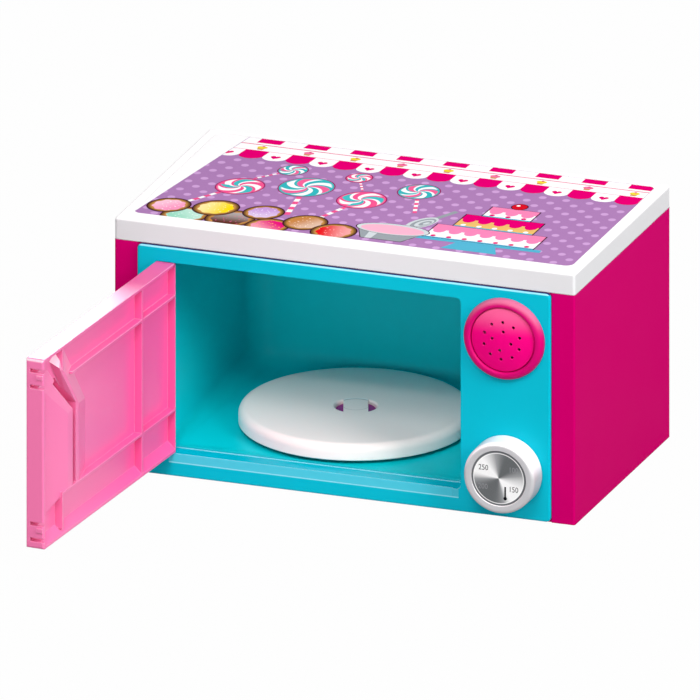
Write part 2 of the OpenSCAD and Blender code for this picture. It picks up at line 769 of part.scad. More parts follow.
module turntable_plate() color("whitesmoke") at_turntable(plate_z) {
    union() {
            rotate_extrude($fn = 128) polygon(concat(
                [[plate_r - 0.6, 0], [plate_r, 0.6]],
                arc(plate_r - plate_edge_r, plate_h - plate_edge_r, plate_edge_r, 0, 90, 6),
                [[grip_hole_r + 1, plate_h], [grip_hole_r, plate_h - 1], [grip_hole_r, 0],
                    [grip_hole_r + plate_wall, 0], [grip_hole_r + plate_wall, plate_h - plate_wall]],
                arc(plate_r - plate_edge_r, plate_h - plate_edge_r, plate_edge_r - plate_wall, 90, 0, 4),
                [[plate_r - plate_wall, 0]]));
            // ribs of the underside
            for (a = [0:45:315]) rotate(a) translate([grip_hole_r + 1, -0.7, 1.5])
                cube([plate_r - grip_hole_r - 2.5, 1.4, plate_h - 3]);
            rotate_extrude($fn = 96) translate([44, 1.5]) square([1.4, plate_h - 3]);
        // bar across the middle
        intersection() {
            rotate(bar_angle) translate([-grip_bar_w / 2, -grip_hole_r - 1, plate_h - grip_bar_t])
                cube([grip_bar_w, 2 * grip_hole_r + 2, grip_bar_t]);
            cylinder(r = grip_hole_r + 1, h = plate_h);
        }
    }
}

module turntable_hub() color("indigo") at_turntable(floor_z) difference() {
    top = spindle_top - floor_z;
    rotate_extrude() polygon([
        [0, 0], [hub_flange_r, 0], [hub_flange_r, hub_flange_t - 0.4],
        [hub_flange_r - 0.4, hub_flange_t], [spindle_r, hub_flange_t], [spindle_r, top - 0.6],
        [spindle_r - 0.6, top], [0, top],
    ]);
    translate([0, 0, -1]) cylinder(r = pilot_r, h = top);
}

module turntable_screw() color("silver") {
    at_turntable(floor_z - liner_wall - 2.4) screw(hub_screw_l, washer_head_r);
}

module sound_bezel() color("white") {
    inner = cap_r + cap_gap;
    lip = 1;
    turn_y(but_x, but_z) polygon(concat(
        [[bezel_r, 0]],
        arc(bezel_r - bezel_edge_r - 0.2, -bezel_h + bezel_edge_r, bezel_edge_r, 0, -90, 8),
        [[inner + 0.8, -bezel_h], [inner, -bezel_h + 0.8], [inner, collar_end],
            [collar_r, collar_end], [collar_r, 0]]));
    // snap lips behind the panel
    translate([but_x, 0, but_z]) for (a = [0:90:270]) rotate([0, a, 0])
        translate([collar_r - 0.5, face + panel_t + slack, -3]) cube([lip + 0.35, 1.8, 6]);
}

// Inner side of the cap's dome, at a distance r from its middle
function dome_q(r, wall) = dome_r - cap_dome - cap_edge - sqrt(pow(dome_r - wall, 2) - r * r);

module sound_button() color("white") difference() {
    rim = cap_r - 0.5;
    inner = cap_r - cap_wall;
    flange_end = cap_stop + cap_flange_t;
    n = 8;
    union() {
        turn_y(but_x, but_z) polygon(concat(
            [for (i = [0:n]) let (r = rim * i / n) [r, dome_q(r, 0)]],
            [[cap_r, -cap_edge + 0.6], [cap_r, cap_stop], [cap_flange_r, cap_stop],
                [cap_flange_r, flange_end], [inner, flange_end], [inner, -cap_edge + 3]],
            [for (i = [n:-1:0]) let (r = (inner - 1) * i / n) [r, dome_q(r, cap_wall)]]));
        // seat of the spring and stem of the switch
        turn_y(but_x, but_z) polygon([
            [spring_r - 0.9, dome_q(spring_r, 0.8)], [spring_r + 0.9, dome_q(spring_r, 0.8)],
            [spring_r + 0.9, spring_q], [spring_r - 0.9, spring_q],
        ]);
        translate([but_x - 2, face + dome_q(switch_z, 0.8), but_z - inner - 0.3])
            cube([4, plunger_q - button_travel - slack - dome_q(switch_z, 0.8), inner + 1.5 - switch_z]);
    }
    for (h = sound_holes) rod_y(but_x + h[0], but_z + h[1], sound_hole_r, face - 8, 9, $fn = 20);
}

// Height along a coil at turn t: the first and the last turn lie close
function coil_z(t, turns, wire, len) =
    let (dead = wire * 1.1, rise = (len - wire - 2 * dead) / (turns - 2))
    wire / 2 + (t < 1 ? dead * t : t > turns - 1 ? len - wire - dead * (turns - t) : dead + rise * (t - 1));

// Wire coil along +Z, from radius r0 at the foot to r1 at the head
module coil(r0, r1, wire, len, turns, steps = 24, sides = 8) {
    n = turns * steps;
    points = [for (i = [0:n], j = [0:sides - 1]) let (
        t = i / steps,
        r = r0 + (r1 - r0) * i / n + wire / 2 * cos(360 * j / sides),
        z = coil_z(t, turns, wire, len) + wire / 2 * sin(360 * j / sides)
    ) [r * cos(360 * t), r * sin(360 * t), z]];
    sidewall = [for (i = [0:n - 1], j = [0:sides - 1]) let (k = (j + 1) % sides)
        each [[i * sides + j, i * sides + k, (i + 1) * sides + k],
            [i * sides + j, (i + 1) * sides + k, (i + 1) * sides + j]]];
    ends = [[for (j = [sides - 1:-1:0]) j], [for (j = [0:sides - 1]) n * sides + j]];
    polyhedron(points, concat(sidewall, ends), convexity = 6);
}

module button_spring() color("silver") {
    translate([but_x, face + spring_q + slack, but_z]) rotate([-90, 0, 0])
        coil(spring_r, spring_r, spring_wire, tube_flange_q - spring_q - 2 * slack, spring_turns + 2);
}

module sound_housing() color("white") difference() {
    tube_r = spring_r - 0.6;
    back_q = housing_end - 1.5;
    post_x = 7;
    union() {
        turn_y(but_x, but_z) polygon([
            [housing_in, housing_q], [housing_out, housing_q], [housing_out, housing_end],
            [0, housing_end], [0, back_q], [housing_in, back_q],
        ]);
        // tube round the speaker, with the spring's seat and the speaker's ledge
        turn_y(but_x, but_z) polygon([
            [speaker_r + 0.2, speaker_q - 3.4], [tube_r, speaker_q - 3.4], [tube_r, tube_flange_q],
            [spring_r + 1.6, tube_flange_q], [spring_r + 1.6, tube_flange_q + 1],
            [tube_r, tube_flange_q + 1], [tube_r, back_q + 0.5], [speaker_r - 0.5, back_q + 0.5],
            [speaker_r - 0.5, speaker_q + 1.45], [speaker_r + 0.2, speaker_q + 1.45],
        ]);
        // ears, and posts under the board
        for (a = ear_angles) intersection() {
            translate([but_x, 0, but_z]) rotate([0, -a, 0])
                translate([housing_in + 0.5, face + ear_q + slack, -3.2]) cube([ear_r - housing_in + 3, 2, 6.4]);
            rod_y(but_x, but_z, ear_r + 3.2, face, housing_end);
        }
        for (s = [-1, 1]) rod_y(but_x + s * post_x, but_z - switch_z, 1.6,
            face + board_q + 1.6 + slack, back_q - board_q - 1.6);
    }
    for (a = ear_angles) {
        rod_y(but_x + ear_r * cos(a), but_z + ear_r * sin(a), through_r, face + ear_q - 1, 5);
    }
    rod_y(but_x, but_z + 18, 2, face + back_q - 1, 4);
}

module speaker_frame() color("silver") turn_y(but_x, but_z) translate([0, speaker_q]) polygon([
    [speaker_r - 1.5, 0], [speaker_r, 0], [speaker_r, 1.4], [speaker_r - 0.8, 1.4],
    [7.2, 4.6], [3, 4.6], [3, 3.8], [6.6, 3.8], [speaker_r - 1.5, 0.9],
]);

module speaker_cone() color("dimgray") turn_y(but_x, but_z) translate([0, speaker_q]) polygon([
    [0, 2], [3.6, 2.6], [speaker_r - 2.1, -0.5], [speaker_r - 0.5, -0.5],
    [speaker_r - 0.5, -slack], [speaker_r - 1.8, -slack], [3.6, 3.1], [0, 2.5],
]);

module speaker_magnet() color("gray") difference() {
    rod_y(but_x, but_z, 7, face + speaker_q + 4.6 + slack, 4.4);
    rod_y(but_x, but_z, 1.2, face + speaker_q + 8, 2);
}

module sound_board() color("green") difference() {
    translate([but_x - 9, face + board_q, but_z - switch_z - 3.9]) cube([18, 1.6, 7.6]);
    for (s = [-1, 1]) rod_y(but_x + s * 7, but_z - switch_z, 0.6, face + board_q - 1, 4);
}

module board_switch() color("black") {
    translate([but_x - 3, face + board_q - slack - switch_h, but_z - switch_z - 3])
        cube([6, switch_h, 6]);
    rod_y(but_x, but_z - switch_z, 1.1, face + plunger_q, 2);
}

module knob() color("white") difference() {
    front_q = -knob_h - fit;
    floor_q = front_q + dial_sink;
    body_r = knob_r - 2;
    end_q = wheel_q + wheel_t - 0.1;
    union() {
        turn_y(kn_x, kn_z) polygon(concat(
            [[0, floor_q], [dial_r + 0.15, floor_q], [dial_r + 0.15, front_q + 0.4]],
            arc(dial_r + 0.55, front_q + 0.4, 0.4, 180, 270, 3),
            arc(knob_r - 2.5, front_q + 2.3, 2.3, -90, 0, 5),
            [[knob_r, -fit - 0.5], [knob_r - 0.5, -fit], [body_r, -fit], [body_r - 0.6, floor_q + 5],
                [body_r - 2.6, floor_q + 2.2], [0, floor_q + 2.2]]));
        // shaft, and ribs that carry it
        turn_y(kn_x, kn_z) polygon([
            [0, floor_q + 1], [shaft_r + 2, floor_q + 1], [shaft_r + 2, -1.2], [shaft_r, -0.8],
            [shaft_r, wheel_q - slack], [shaft_end_r, wheel_q - slack], [shaft_end_r, end_q], [0, end_q],
        ]);
        for (a = [0:60:300]) translate([kn_x, 0, kn_z]) rotate([0, a, 0])
            translate([shaft_r + 1, face + floor_q + 1, -0.7]) cube([body_r - shaft_r - 1.4, -floor_q - 3, 1.4]);
    }
    rod_y(kn_x, kn_z, pilot_r, face + end_q - 10, 11);
    // flat that drives the click wheel
    translate([kn_x + shaft_end_r - 0.6, face + wheel_q - slack, kn_z - 4]) cube([3, wheel_t + 1, 8]);
}

module knob_dial() color("silver") {
    rod_y(kn_x, kn_z, dial_r, face - knob_h - fit + dial_sink - dial_t - 0.02, dial_t, $fn = 96);
}

module click_wheel() color("white") difference() {
    rod_y(kn_x, kn_z, wheel_r, face + wheel_q, wheel_t);
    difference() {
        rod_y(kn_x, kn_z, shaft_end_r + slack, face + wheel_q - 1, wheel_t + 2);
        translate([kn_x + shaft_end_r - 0.6 + slack, face + wheel_q - 2, kn_z - 4])
            cube([3, wheel_t + 4, 8]);
    }
    for (i = [0:clicks - 1]) {
        rod_y(kn_x + (wheel_r + 0.3) * cos(90 + 360 * i / clicks),
            kn_z + (wheel_r + 0.3) * sin(90 + 360 * i / clicks), 1.1, face + wheel_q - 1, wheel_t + 2, $fn = 24);
    }
}

// Leaf between two posts, whose bend rests in a notch of the click wheel
module click_spring() color("silver") {
    post_z = kn_z + wheel_r + 1;
    tip = wheel_r - 0.55 - (wheel_r + 1);
    leaf = [[-pawl_x, 2], [-2.3, 1.4], [0, tip], [2.3, 1.4], [pawl_x, 2],
        [pawl_x, 2.4], [2.1, 1.9], [0, tip + 0.8], [-2.1, 1.9], [-pawl_x, 2.4]];
    from_front(face + wheel_q + 0.4, wheel_t - 0.8) translate([kn_x, post_z]) difference() {
        union() {
            for (s = [-1, 1]) translate([s * pawl_x, 0]) circle(2.5, $fn = 32);
            polygon(leaf);
        }
        for (s = [-1, 1]) translate([s * pawl_x, 0]) circle(1.8 + slack, $fn = 32);
    }
}

module knob_washer() color("silver") difference() {
    rod_y(kn_x, kn_z, 5, face + wheel_q + wheel_t, washer_t);
    rod_y(kn_x, kn_z, through_r, face + wheel_q + wheel_t - 1, washer_t + 2);
}

module knob_screw() color("silver") {
    screw_from_back(kn_x, kn_z, face + wheel_q + wheel_t + washer_t, knob_screw_l);
}

module battery_box() color("white") difference() {
    bay = 2 * cell_r + 2 * cell_gap;
    union() {
        translate([box_x - box_w / 2, box_y - box_l / 2, base_t]) cube([box_w, box_l, box_top - base_t]);
        for (s = [-1, 1], y = [box_y + s * (box_l / 2 + box_ear)]) {
            translate([box_x + s * 9, y, base_t + 4]) cylinder(r = 3.2, h = 2);
            translate([box_x + s * 9 - 3.2, s > 0 ? y - box_ear - 0.5 : y, base_t + 4])
                cube([6.4, box_ear + 0.5, 2]);
        }
    }
    for (s = [-1, 1]) {
        translate([box_x + s * (bay + box_wall) / 2 - bay / 2, box_y - box_l / 2 + box_wall, base_t - 1])
            cube([bay, box_l - 2 * box_wall, box_top - base_t - box_wall + 1]);
        translate([box_x + s * 9, box_y + s * (box_l / 2 + box_ear), base_t])
            cylinder(r = through_r, h = 10);
    }
}

// The two cells lie side by side and point in opposite directions
module at_cells() {
    for (s = [-1, 1]) {
        translate([box_x + s * (cell_r + cell_gap + box_wall / 2), box_y, cell_z])
            rotate(s > 0 ? 0 : 180) children();
    }
}

module batteries() color("dimgray") at_cells() translate([0, inner_half - nub_gap - cell_l, 0])
    rotate([-90, 0, 0]) rotate_extrude() polygon([
        [0, 0], [cell_r - 1.2, 0], [cell_r, 0.8], [cell_r, cell_l - 2], [cell_r - 0.8, cell_l - 1],
        [2.75, cell_l - 1], [2.75, cell_l - 0.3], [2.45, cell_l], [0, cell_l],
    ]);

module contact_springs() color("silver") at_cells() {
    room = 2 * inner_half - nub_gap - cell_l;
    translate([-contact_half, -inner_half, -contact_half]) cube([2 * contact_half, contact_t, 2 * contact_half]);
    translate([0, -inner_half + 0.3, 0]) rotate([-90, 0, 0]) coil(4.2, 2.6, 0.7, room - 0.3 - slack, 4, 20, 6);
}

module contact_plates() color("silver") at_cells() {
    translate([-contact_half, inner_half - contact_t, -contact_half])
        cube([2 * contact_half, contact_t, 2 * contact_half]);
    translate([0, inner_half - nub_gap + slack, 0]) rotate([-90, 0, 0])
        cylinder(r1 = 1.6, r2 = 3, h = nub_gap - slack - 0.2);
}

module battery_door() color("mediumvioletred") difference() {
    gap = 0.25;
    w = box_w + 2 * hatch_rim - 2 * gap;
    y0 = box_y - box_l / 2 - hatch_rim - hatch_tail + gap;
    y1 = box_y + box_l / 2 + hatch_rim - gap;
    union() {
        translate([box_x - w / 2, y0, 0]) cube([w, y1 - y0, hatch_t - slack]);
        translate([box_x, hatch_screw_y, 0]) cylinder(r = hatch_cup_r, h = hatch_cup_h);
        for (s = [-1, 1]) translate([box_x + s * 9 - 3, y1 - 1, 0.35]) cube([6, 3, 0.7]);
        // ribs under the cells
        for (y = [-18, 18]) translate([box_x - box_w / 2 + box_wall + 1, box_y + y - 0.7, 0])
            cube([box_w - 2 * box_wall - 2, 1.4, base_t + cell_gap - slack]);
    }
    translate([box_x, hatch_screw_y, -1]) cylinder(r = through_r, h = 5);
    translate([box_x, hatch_screw_y, -1]) cylinder(r = head_r + fit, h = head_h + 1 + slack);
    // finger grip
    for (i = [0:4]) translate([box_x - 9 + i * 4.5 - 0.6, y1 - 14, -1]) cube([1.2, 9, 1.4]);
}

module battery_door_screw() color("silver") {
    translate([box_x, hatch_screw_y, head_h + slack]) screw(hatch_screw_l);
}

module base_screws() color("silver") {
    at_corners(corner_inset) translate([0, 0, base_cup_h - 2]) screw(base_screw_l);
}

module lid_screws() color("silver") {
    at_corners(shelf_inset) translate([0, 0, case_h - shelf_t]) screw(lid_screw_l);
}

module panel_screws() color("silver") {
    for (p = panel_screws_at) screw_from_back(p[0], p[1], front + ledge, panel_screw_l, washer_head_r);
}

module liner_screws() color("silver") {
    for (p = liner_screws_at) screw_from_back(p[0], p[1], mouth_y + flange_t, liner_screw_l);
}

module housing_screws() color("silver") {
    for (a = ear_angles) {
        screw_from_back(but_x + ear_r * cos(a), but_z + ear_r * sin(a), face + ear_q + 2 + slack, housing_screw_l);
    }
}

module battery_box_screws() color("silver") {
    for (s = [-1, 1]) translate([box_x + s * 9, box_y + s * (box_l / 2 + box_ear), base_t + 6])
        rotate([180, 0, 0]) screw(box_screw_l);
}

case_shell();
base_plate();
top_panel();
top_label();
front_panel();
oven_liner();
door();
turntable_plate();
turntable_hub();
turntable_screw();
sound_bezel();
sound_button();
button_spring();
sound_housing();
speaker_frame();
speaker_cone();
speaker_magnet();
sound_board();
board_switch();
knob();
knob_dial();
click_wheel();
click_spring();
knob_screw();
knob_washer();
battery_box();
batteries();
contact_springs();
contact_plates();
battery_door();
battery_door_screw();
base_screws();
lid_screws();
panel_screws();
liner_screws();
housing_screws();
battery_box_screws();
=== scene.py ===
"""Looks of a toy oven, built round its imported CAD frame."""

import logging
import math
from dataclasses import dataclass, field
from enum import Enum
from typing import ClassVar, Iterable, Optional, Protocol, Sequence, Union

import bmesh
import bpy
from mathutils import Matrix, Vector


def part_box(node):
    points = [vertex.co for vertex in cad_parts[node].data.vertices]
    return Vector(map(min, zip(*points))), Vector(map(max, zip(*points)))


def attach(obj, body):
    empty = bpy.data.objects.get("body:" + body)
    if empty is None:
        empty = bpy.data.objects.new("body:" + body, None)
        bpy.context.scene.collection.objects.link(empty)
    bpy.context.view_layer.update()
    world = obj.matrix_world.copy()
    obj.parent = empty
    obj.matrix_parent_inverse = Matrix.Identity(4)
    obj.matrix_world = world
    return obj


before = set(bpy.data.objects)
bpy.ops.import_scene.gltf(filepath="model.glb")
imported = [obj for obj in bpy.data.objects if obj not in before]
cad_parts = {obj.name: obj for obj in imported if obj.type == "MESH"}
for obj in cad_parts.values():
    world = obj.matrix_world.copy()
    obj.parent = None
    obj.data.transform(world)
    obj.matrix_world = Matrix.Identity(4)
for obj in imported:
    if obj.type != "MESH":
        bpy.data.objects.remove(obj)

MM = 0.001
IMAGE_WIDTH = 700
Colour = tuple[int, int, int]
Point = tuple[float, float, float]
Socket = bpy.types.NodeSocket
Input = Union[float, tuple, Socket]
WHITE: Colour = (255, 255, 255)
# The white that painted sheen and painted light are mixed towards.
PAINTED_LIGHT_WHITE: Colour = (255, 250, 252)
GAP_SHADE: Colour = (24, 34, 108)
log = logging.getLogger("toy_oven")


class Body(Enum):
    """Rigid bodies that a new piece may ride on."""

    CASE = "case"
    KNOB = "knob"


class Slot(Enum):
    """Material slots of the record, listed here; no piece in this script takes its finish from them."""

    LABEL = "label_print"
    DIAL = "dial_silver"


class Coordinates(Enum):
    """Where a pattern is measured: on the object's own axes or on its UV map."""

    OBJECT = "Object"
    UV = "UV"


def ink(colour: Colour) -> tuple[float, float, float, float]:
    """Turns a screen colour into the linear colour that shaders take.

    Args:
        colour: red, green and blue, 0 to 255.

    Returns:
        The linear colour, with full opacity.
    """
    def linear(c: int) -> float:
        """One channel of the screen colour as linear light."""
        s = c / 255
        return s / 12.92 if s <= 0.04045 else ((s + 0.055) / 1.055) ** 2.4

    return (*(linear(c) for c in colour), 1.0)


def darker(colour: Colour, share: float) -> Colour:
    """A colour with a share of its brightness left."""
    return tuple(round(c * share) for c in colour)


def paler(colour: Colour, share: float) -> Colour:
    """A colour moved by a share of the way to white."""
    return tuple(round(c + (255 - c) * share) for c in colour)


class NodeSheet:
    """The node tree of a material or of the world, with short calls to add its nodes."""

    def __init__(self, name: str, world: bool = False) -> None:
        """Starts an empty tree.

        Args:
            name: the name of the material or the world.
            world: makes a world instead of a material.
        """
        self.owner = (bpy.data.worlds if world else bpy.data.materials).new(name)
        self.owner.use_nodes = True
        self.tree = self.owner.node_tree
        self.tree.nodes.clear()
        self.output = self.tree.nodes.new("ShaderNodeOutput" + ("World" if world else "Material"))

    def add(self, kind: str, settings: Optional[dict] = None, **inputs: Input) -> bpy.types.Node:
        """Adds a node.

        Args:
            kind: the node's type, without the ShaderNode in front.
            settings: attributes of the node itself.
            inputs: values or sockets by input name, with _ for a blank, or i0, i1 and so on by place.

        Returns:
            The new node.
        """
        node = self.tree.nodes.new("ShaderNode" + kind)
        for key, value in (settings or {}).items():
            setattr(node, key, value)
        for key, value in inputs.items():
            by_place = key[0] == "i" and key[1:].isdigit()
            socket = node.inputs[int(key[1:]) if by_place else key.replace("_", " ")]
            if isinstance(value, Socket):
                self.tree.links.new(value, socket)
            else:
                socket.default_value = value
        return node

    def math(self, operation: str, a: Input, b: Input = 0.0) -> Socket:
        """The result of a Math node on values or sockets."""
        return self.add("Math", {"operation": operation}, i0=a, i1=b).outputs[0]

    def times(self, first: Input, *others: Input) -> Input:
        """The product of values or sockets.

        Args:
            first: the first of them.
            others: the rest.

        Returns:
            The product's socket.
        """
        for other in others:
            first = self.math("MULTIPLY", first, other)
        return first

    def mix(self, share: Input, a: Input, b: Input) -> Socket:
        """Blends two colours, from a where the share is 0 to b where it is 1."""
        return self.add("Mix", {"data_type": "RGBA"}, i0=share, i6=a, i7=b).outputs[2]

    def span(self, value: Input, low: float, high: float, to: tuple[float, float] = (0.0, 1.0)) -> Socket:
        """Maps low to to[0] and high, which may be the lesser one, to to[1], with smooth ends."""
        smooth = {"interpolation_type": "SMOOTHSTEP"}
        return self.add("MapRange", smooth, i0=value, i1=low, i2=high, i3=to[0], i4=to[1]).outputs[0]

    def window(self, value: Input, low: float, high: float, soft: float) -> Input:
        """A band along an axis: 1 from low to high, in millimetres, and 0 beyond flanks as wide as soft."""
        rise = self.span(value, (low - soft) * MM, low * MM)
        return self.times(rise, self.span(value, (high + soft) * MM, high * MM))

    def place(
        self, kind: Coordinates = Coordinates.OBJECT, centre: Sequence[float] = (0, 0, 0), turn: float = 0.0,
    ) -> Socket:
        """Coordinates for a pattern.

        Args:
            kind: object axes or UV map.
            centre: the point that becomes the origin.
            turn: rotation about Z, in degrees.

        Returns:
            The coordinates' socket.
        """
        source = self.add("TexCoord").outputs[kind.value]
        moved = self.add("VectorMath", {"operation": "SUBTRACT"}, i0=source, i1=tuple(centre)).outputs[0]
        if not turn:
            return moved
        return self.add("Mapping", i0=moved, i2=(0, 0, math.radians(turn))).outputs[0]

    def axes(self, vector: Socket) -> bpy.types.bpy_prop_collection:
        """A vector's outputs X, Y and Z."""
        return self.add("SeparateXYZ", i0=vector).outputs

    def reach(self, place: Socket) -> Socket:
        """The distance of a place from its origin."""
        return self.add("VectorMath", {"operation": "LENGTH"}, i0=place).outputs["Value"]

    def noise(self, place: Socket, scale: float, detail: float = 2.0) -> Socket:
        """Noise between 0 and 1, with scale features to the metre and detail octaves."""
        return self.add("TexNoise", Vector=place, Scale=scale, Detail=detail).outputs[0]

    def finish(self, shader: bpy.types.Node) -> bpy.types.ID:
        """Joins the last shader to the output and gives the material or the world."""
        self.tree.links.new(shader.outputs[0], self.output.inputs["Surface"])
        return self.owner


class Finish(Protocol):
    """Whatever makes a material."""

    def material(self) -> bpy.types.Material:
        """Builds the material."""


@dataclass(frozen=True)
class MouldedPlastic:
    """Injection-moulded plastic: an even colour with soft edges, a fine skin and a little flow mottling, with
    painted light on it: painted highlights on edges, painted shade on edges that face down and a painted
    sheen where it faces up.

    Lengths are in millimetres. A slope is the height of a face's normal, 1 where it faces straight up.

    Attributes:
        name: the material's name.
        colour: the plastic's colour.
        roughness: the mean roughness.
        level: the specular level.
        coat: the weight of a clear coat.
        grain: the depth of the skin.
        edge: the radius over which edges are softened.
        edge_highlight: how strongly the edges show paler, a painted highlight.
        highlight_white: how pale such a painted highlight is.
        highlight_up_only: keeps the painted highlights to the edges that face up, where light from above
            falls.
        under_edge_shade: how strongly the edges that face down get painted shade.
        painted_sheen: how strongly the skin shows paler where it faces up, a painted sheen.
        sheen_full_at: the slope from which it does so in full.
        sheen_end: the slope past which it no longer does.
        sheen_from: the height above which it does, or None for everywhere.
    """

    name: str
    colour: Colour
    roughness: float = 0.3
    level: float = 0.2
    coat: float = 0.0
    grain: float = 0.012
    edge: float = 0.5
    edge_highlight: float = 0.25
    highlight_white: float = 0.45
    highlight_up_only: bool = False
    under_edge_shade: float = 0.0
    painted_sheen: float = 0.0
    sheen_full_at: float = 0.9
    sheen_end: float = 2.0
    sheen_from: Optional[float] = None

    # The same for all mouldings. Scales are to the metre, and a pair says where a trait starts and is full.
    bevel_samples: ClassVar[int] = 4
    clouds: ClassVar[tuple[float, float]] = (0.2, 0.8)
    flow_scale: ClassVar[float] = 9.0
    flow_shade: ClassVar[float] = 0.985
    polish_scale: ClassVar[float] = 40.0
    polish_change: ClassVar[float] = 0.05
    skin_scale: ClassVar[float] = 1400.0
    skin_strength: ClassVar[float] = 0.35
    coat_roughness: ClassVar[float] = 0.08
    # Bends and slopes at which the painted edge highlight and the painted shade under edges start and are
    # full, and the painted sheen's fade and rise.
    highlight_bend: ClassVar[tuple[float, float]] = (0.985, 0.8)
    shade_bend: ClassVar[tuple[float, float]] = (0.995, 0.8)
    highlight_slope: ClassVar[tuple[float, float]] = (0.05, 0.4)
    shade_slope: ClassVar[tuple[float, float]] = (-0.1, -0.5)
    sheen_fade: ClassVar[float] = 0.1
    sheen_rise: ClassVar[float] = 16.0

    def colours(self, sheet: NodeSheet, place: Socket) -> Socket:
        """The plastic's colour, slightly mottled where the melt flowed."""
        flow = sheet.span(sheet.noise(place, self.flow_scale, 1), *self.clouds)
        return sheet.mix(flow, ink(self.colour), ink(darker(self.colour, self.flow_shade)))

    def paint_sheen(self, sheet: NodeSheet, place: Socket, up: Socket, colour: Socket) -> Socket:
        """Paints a sheen: makes the colour paler where the skin faces up, as light from above would.

        Args:
            sheet: the node tree.
            place: the coordinates.
            up: the slope.
            colour: the colour so far.

        Returns:
            The colour's socket.
        """
        if not self.painted_sheen:
            return colour
        # Painted sheen: paler towards white on faces that look up, up to a slope limit.
        pale = sheet.times(
            sheet.span(up, 0.0, self.sheen_full_at, (0.0, self.painted_sheen)),
            sheet.span(up, self.sheen_end + self.sheen_fade, self.sheen_end),
        )
        if self.sheen_from is not None:
            low, high = self.sheen_from * MM, (self.sheen_from + self.sheen_rise) * MM
            pale = sheet.times(pale, sheet.span(sheet.axes(place)["Z"], low, high))
        return sheet.mix(pale, colour, ink(PAINTED_LIGHT_WHITE))

    def edges(self, sheet: NodeSheet, bend: Socket, up: Socket, colour: Socket) -> Socket:
        """Paints highlights on the edges and shade on those that face down: painted light and painted shade.

        Args:
            sheet: the node tree.
            bend: how well the softened normal agrees with the true one, 1 away from any edge.
            up: the slope.
            colour: the colour so far.

        Returns:
            The colour's socket.
        """
        # Painted shade: edges that face down turn to the dark of a shadowed gap.
        if self.under_edge_shade:
            below = sheet.span(up, *self.shade_slope, (0.0, self.under_edge_shade))
            colour = sheet.mix(sheet.times(sheet.span(bend, *self.shade_bend), below), colour, ink(GAP_SHADE))
        # Painted highlight: edges turn paler, as if lit, where the softened normal bends away from the true
        # one.
        rim = sheet.span(bend, *self.highlight_bend, (0.0, self.edge_highlight))
        if self.highlight_up_only:
            rim = sheet.times(rim, sheet.span(up, *self.highlight_slope))
        return sheet.mix(rim, colour, ink(paler(self.colour, self.highlight_white)))

    def material(self) -> bpy.types.Material:
        """Builds the material.

        Returns:
            The material.
        """
        sheet = NodeSheet(self.name)
        place = sheet.place()
        soft = sheet.add("Bevel", {"samples": self.bevel_samples}, Radius=self.edge * MM).outputs[0]
        true = sheet.add("NewGeometry").outputs["True Normal"]
        bend = sheet.add("VectorMath", {"operation": "DOT_PRODUCT"}, i0=soft, i1=true).outputs["Value"]
        up = sheet.axes(soft)["Z"]
        colour = self.paint_sheen(sheet, place, up, self.colours(sheet, place))
        colour = self.edges(sheet, bend, up, colour)
        skin = sheet.add(
            "Bump", Strength=self.skin_strength, Distance=self.grain * MM,
            Height=sheet.noise(place, self.skin_scale), Normal=soft,
        )
        polish = tuple(self.roughness * (1 + change) for change in (-self.polish_change, self.polish_change))
        return sheet.finish(sheet.add(
            "BsdfPrincipled", Base_Color=colour, Normal=skin.outputs[0],
            Roughness=sheet.span(sheet.noise(place, self.polish_scale, 1), *self.clouds, polish),
            Coat_Weight=self.coat, Coat_Roughness=self.coat_roughness, Specular_IOR_Level=self.level,
        ))


@dataclass(frozen=True)
class PanelPlastic(MouldedPlastic):
    """The front panel's plastic: a painted sheen on the sloped sill over a painted highlight line, and a
    painted highlight on the lip before the gap's painted shadow.

    Attributes:
        across: where the sill starts and ends from left to right.
        sill: the heights of the sloped sill, which has a painted sheen.
        line: the heights of the painted highlight line under it.
        lip: the height from which the panel's upper edge has a painted highlight.
        gap: the depth behind which that edge lies in the painted shadow of the gap.
        soft: the width over which these places fade out.
    """

    across: tuple[float, float] = (-113.6, 74.7)
    sill: tuple[float, float] = (9.7, 14.9)
    sill_sheen_tint: Colour = (150, 206, 222)
    sill_sheen_share: float = 0.2
    line: tuple[float, float] = (9.35, 9.9)
    highlight_line_tint: Colour = (150, 226, 238)
    highlight_line_share: float = 0.75
    lip: float = 147.9
    lip_highlight_tint: Colour = (168, 230, 248)
    lip_highlight_share: float = 0.75
    gap: float = -86.5
    gap_shadow_share: float = 1.25
    soft: float = 0.4

    def colours(self, sheet: NodeSheet, place: Socket) -> Socket:
        """The plastic's colour with the painted sheen on the sill, the painted highlights on its line and the
        lip, and the painted shadow in the gap.

        Args:
            sheet: the node tree.
            place: the coordinates.

        Returns:
            The colour's socket.
        """
        axes, half = sheet.axes(place), self.soft / 2
        wide = sheet.window(axes["X"], *self.across, self.soft)
        colour = super().colours(sheet, place)
        # Painted sheen on the sloped sill and a painted highlight line under it.
        sheen_and_highlight_bands = ((self.sill, self.sill_sheen_tint, self.sill_sheen_share), (self.line, self.highlight_line_tint, self.highlight_line_share))
        for heights, tint, share in sheen_and_highlight_bands:
            tall = sheet.window(axes["Z"], *heights, half)
            colour = sheet.mix(sheet.times(tall, wide, share), colour, ink(tint))
        # Painted highlight on the lip, then painted shadow where the lip lies back in the gap.
        lit = sheet.span(axes["Z"], self.lip * MM, (self.lip + self.soft) * MM, (0.0, self.lip_highlight_share))
        behind = sheet.span(axes["Y"], (self.gap - half) * MM, (self.gap + half) * MM, (0.0, self.gap_shadow_share))
        bright = sheet.mix(lit, colour, ink(self.lip_highlight_tint))
        return sheet.mix(sheet.times(lit, behind), bright, ink(GAP_SHADE))


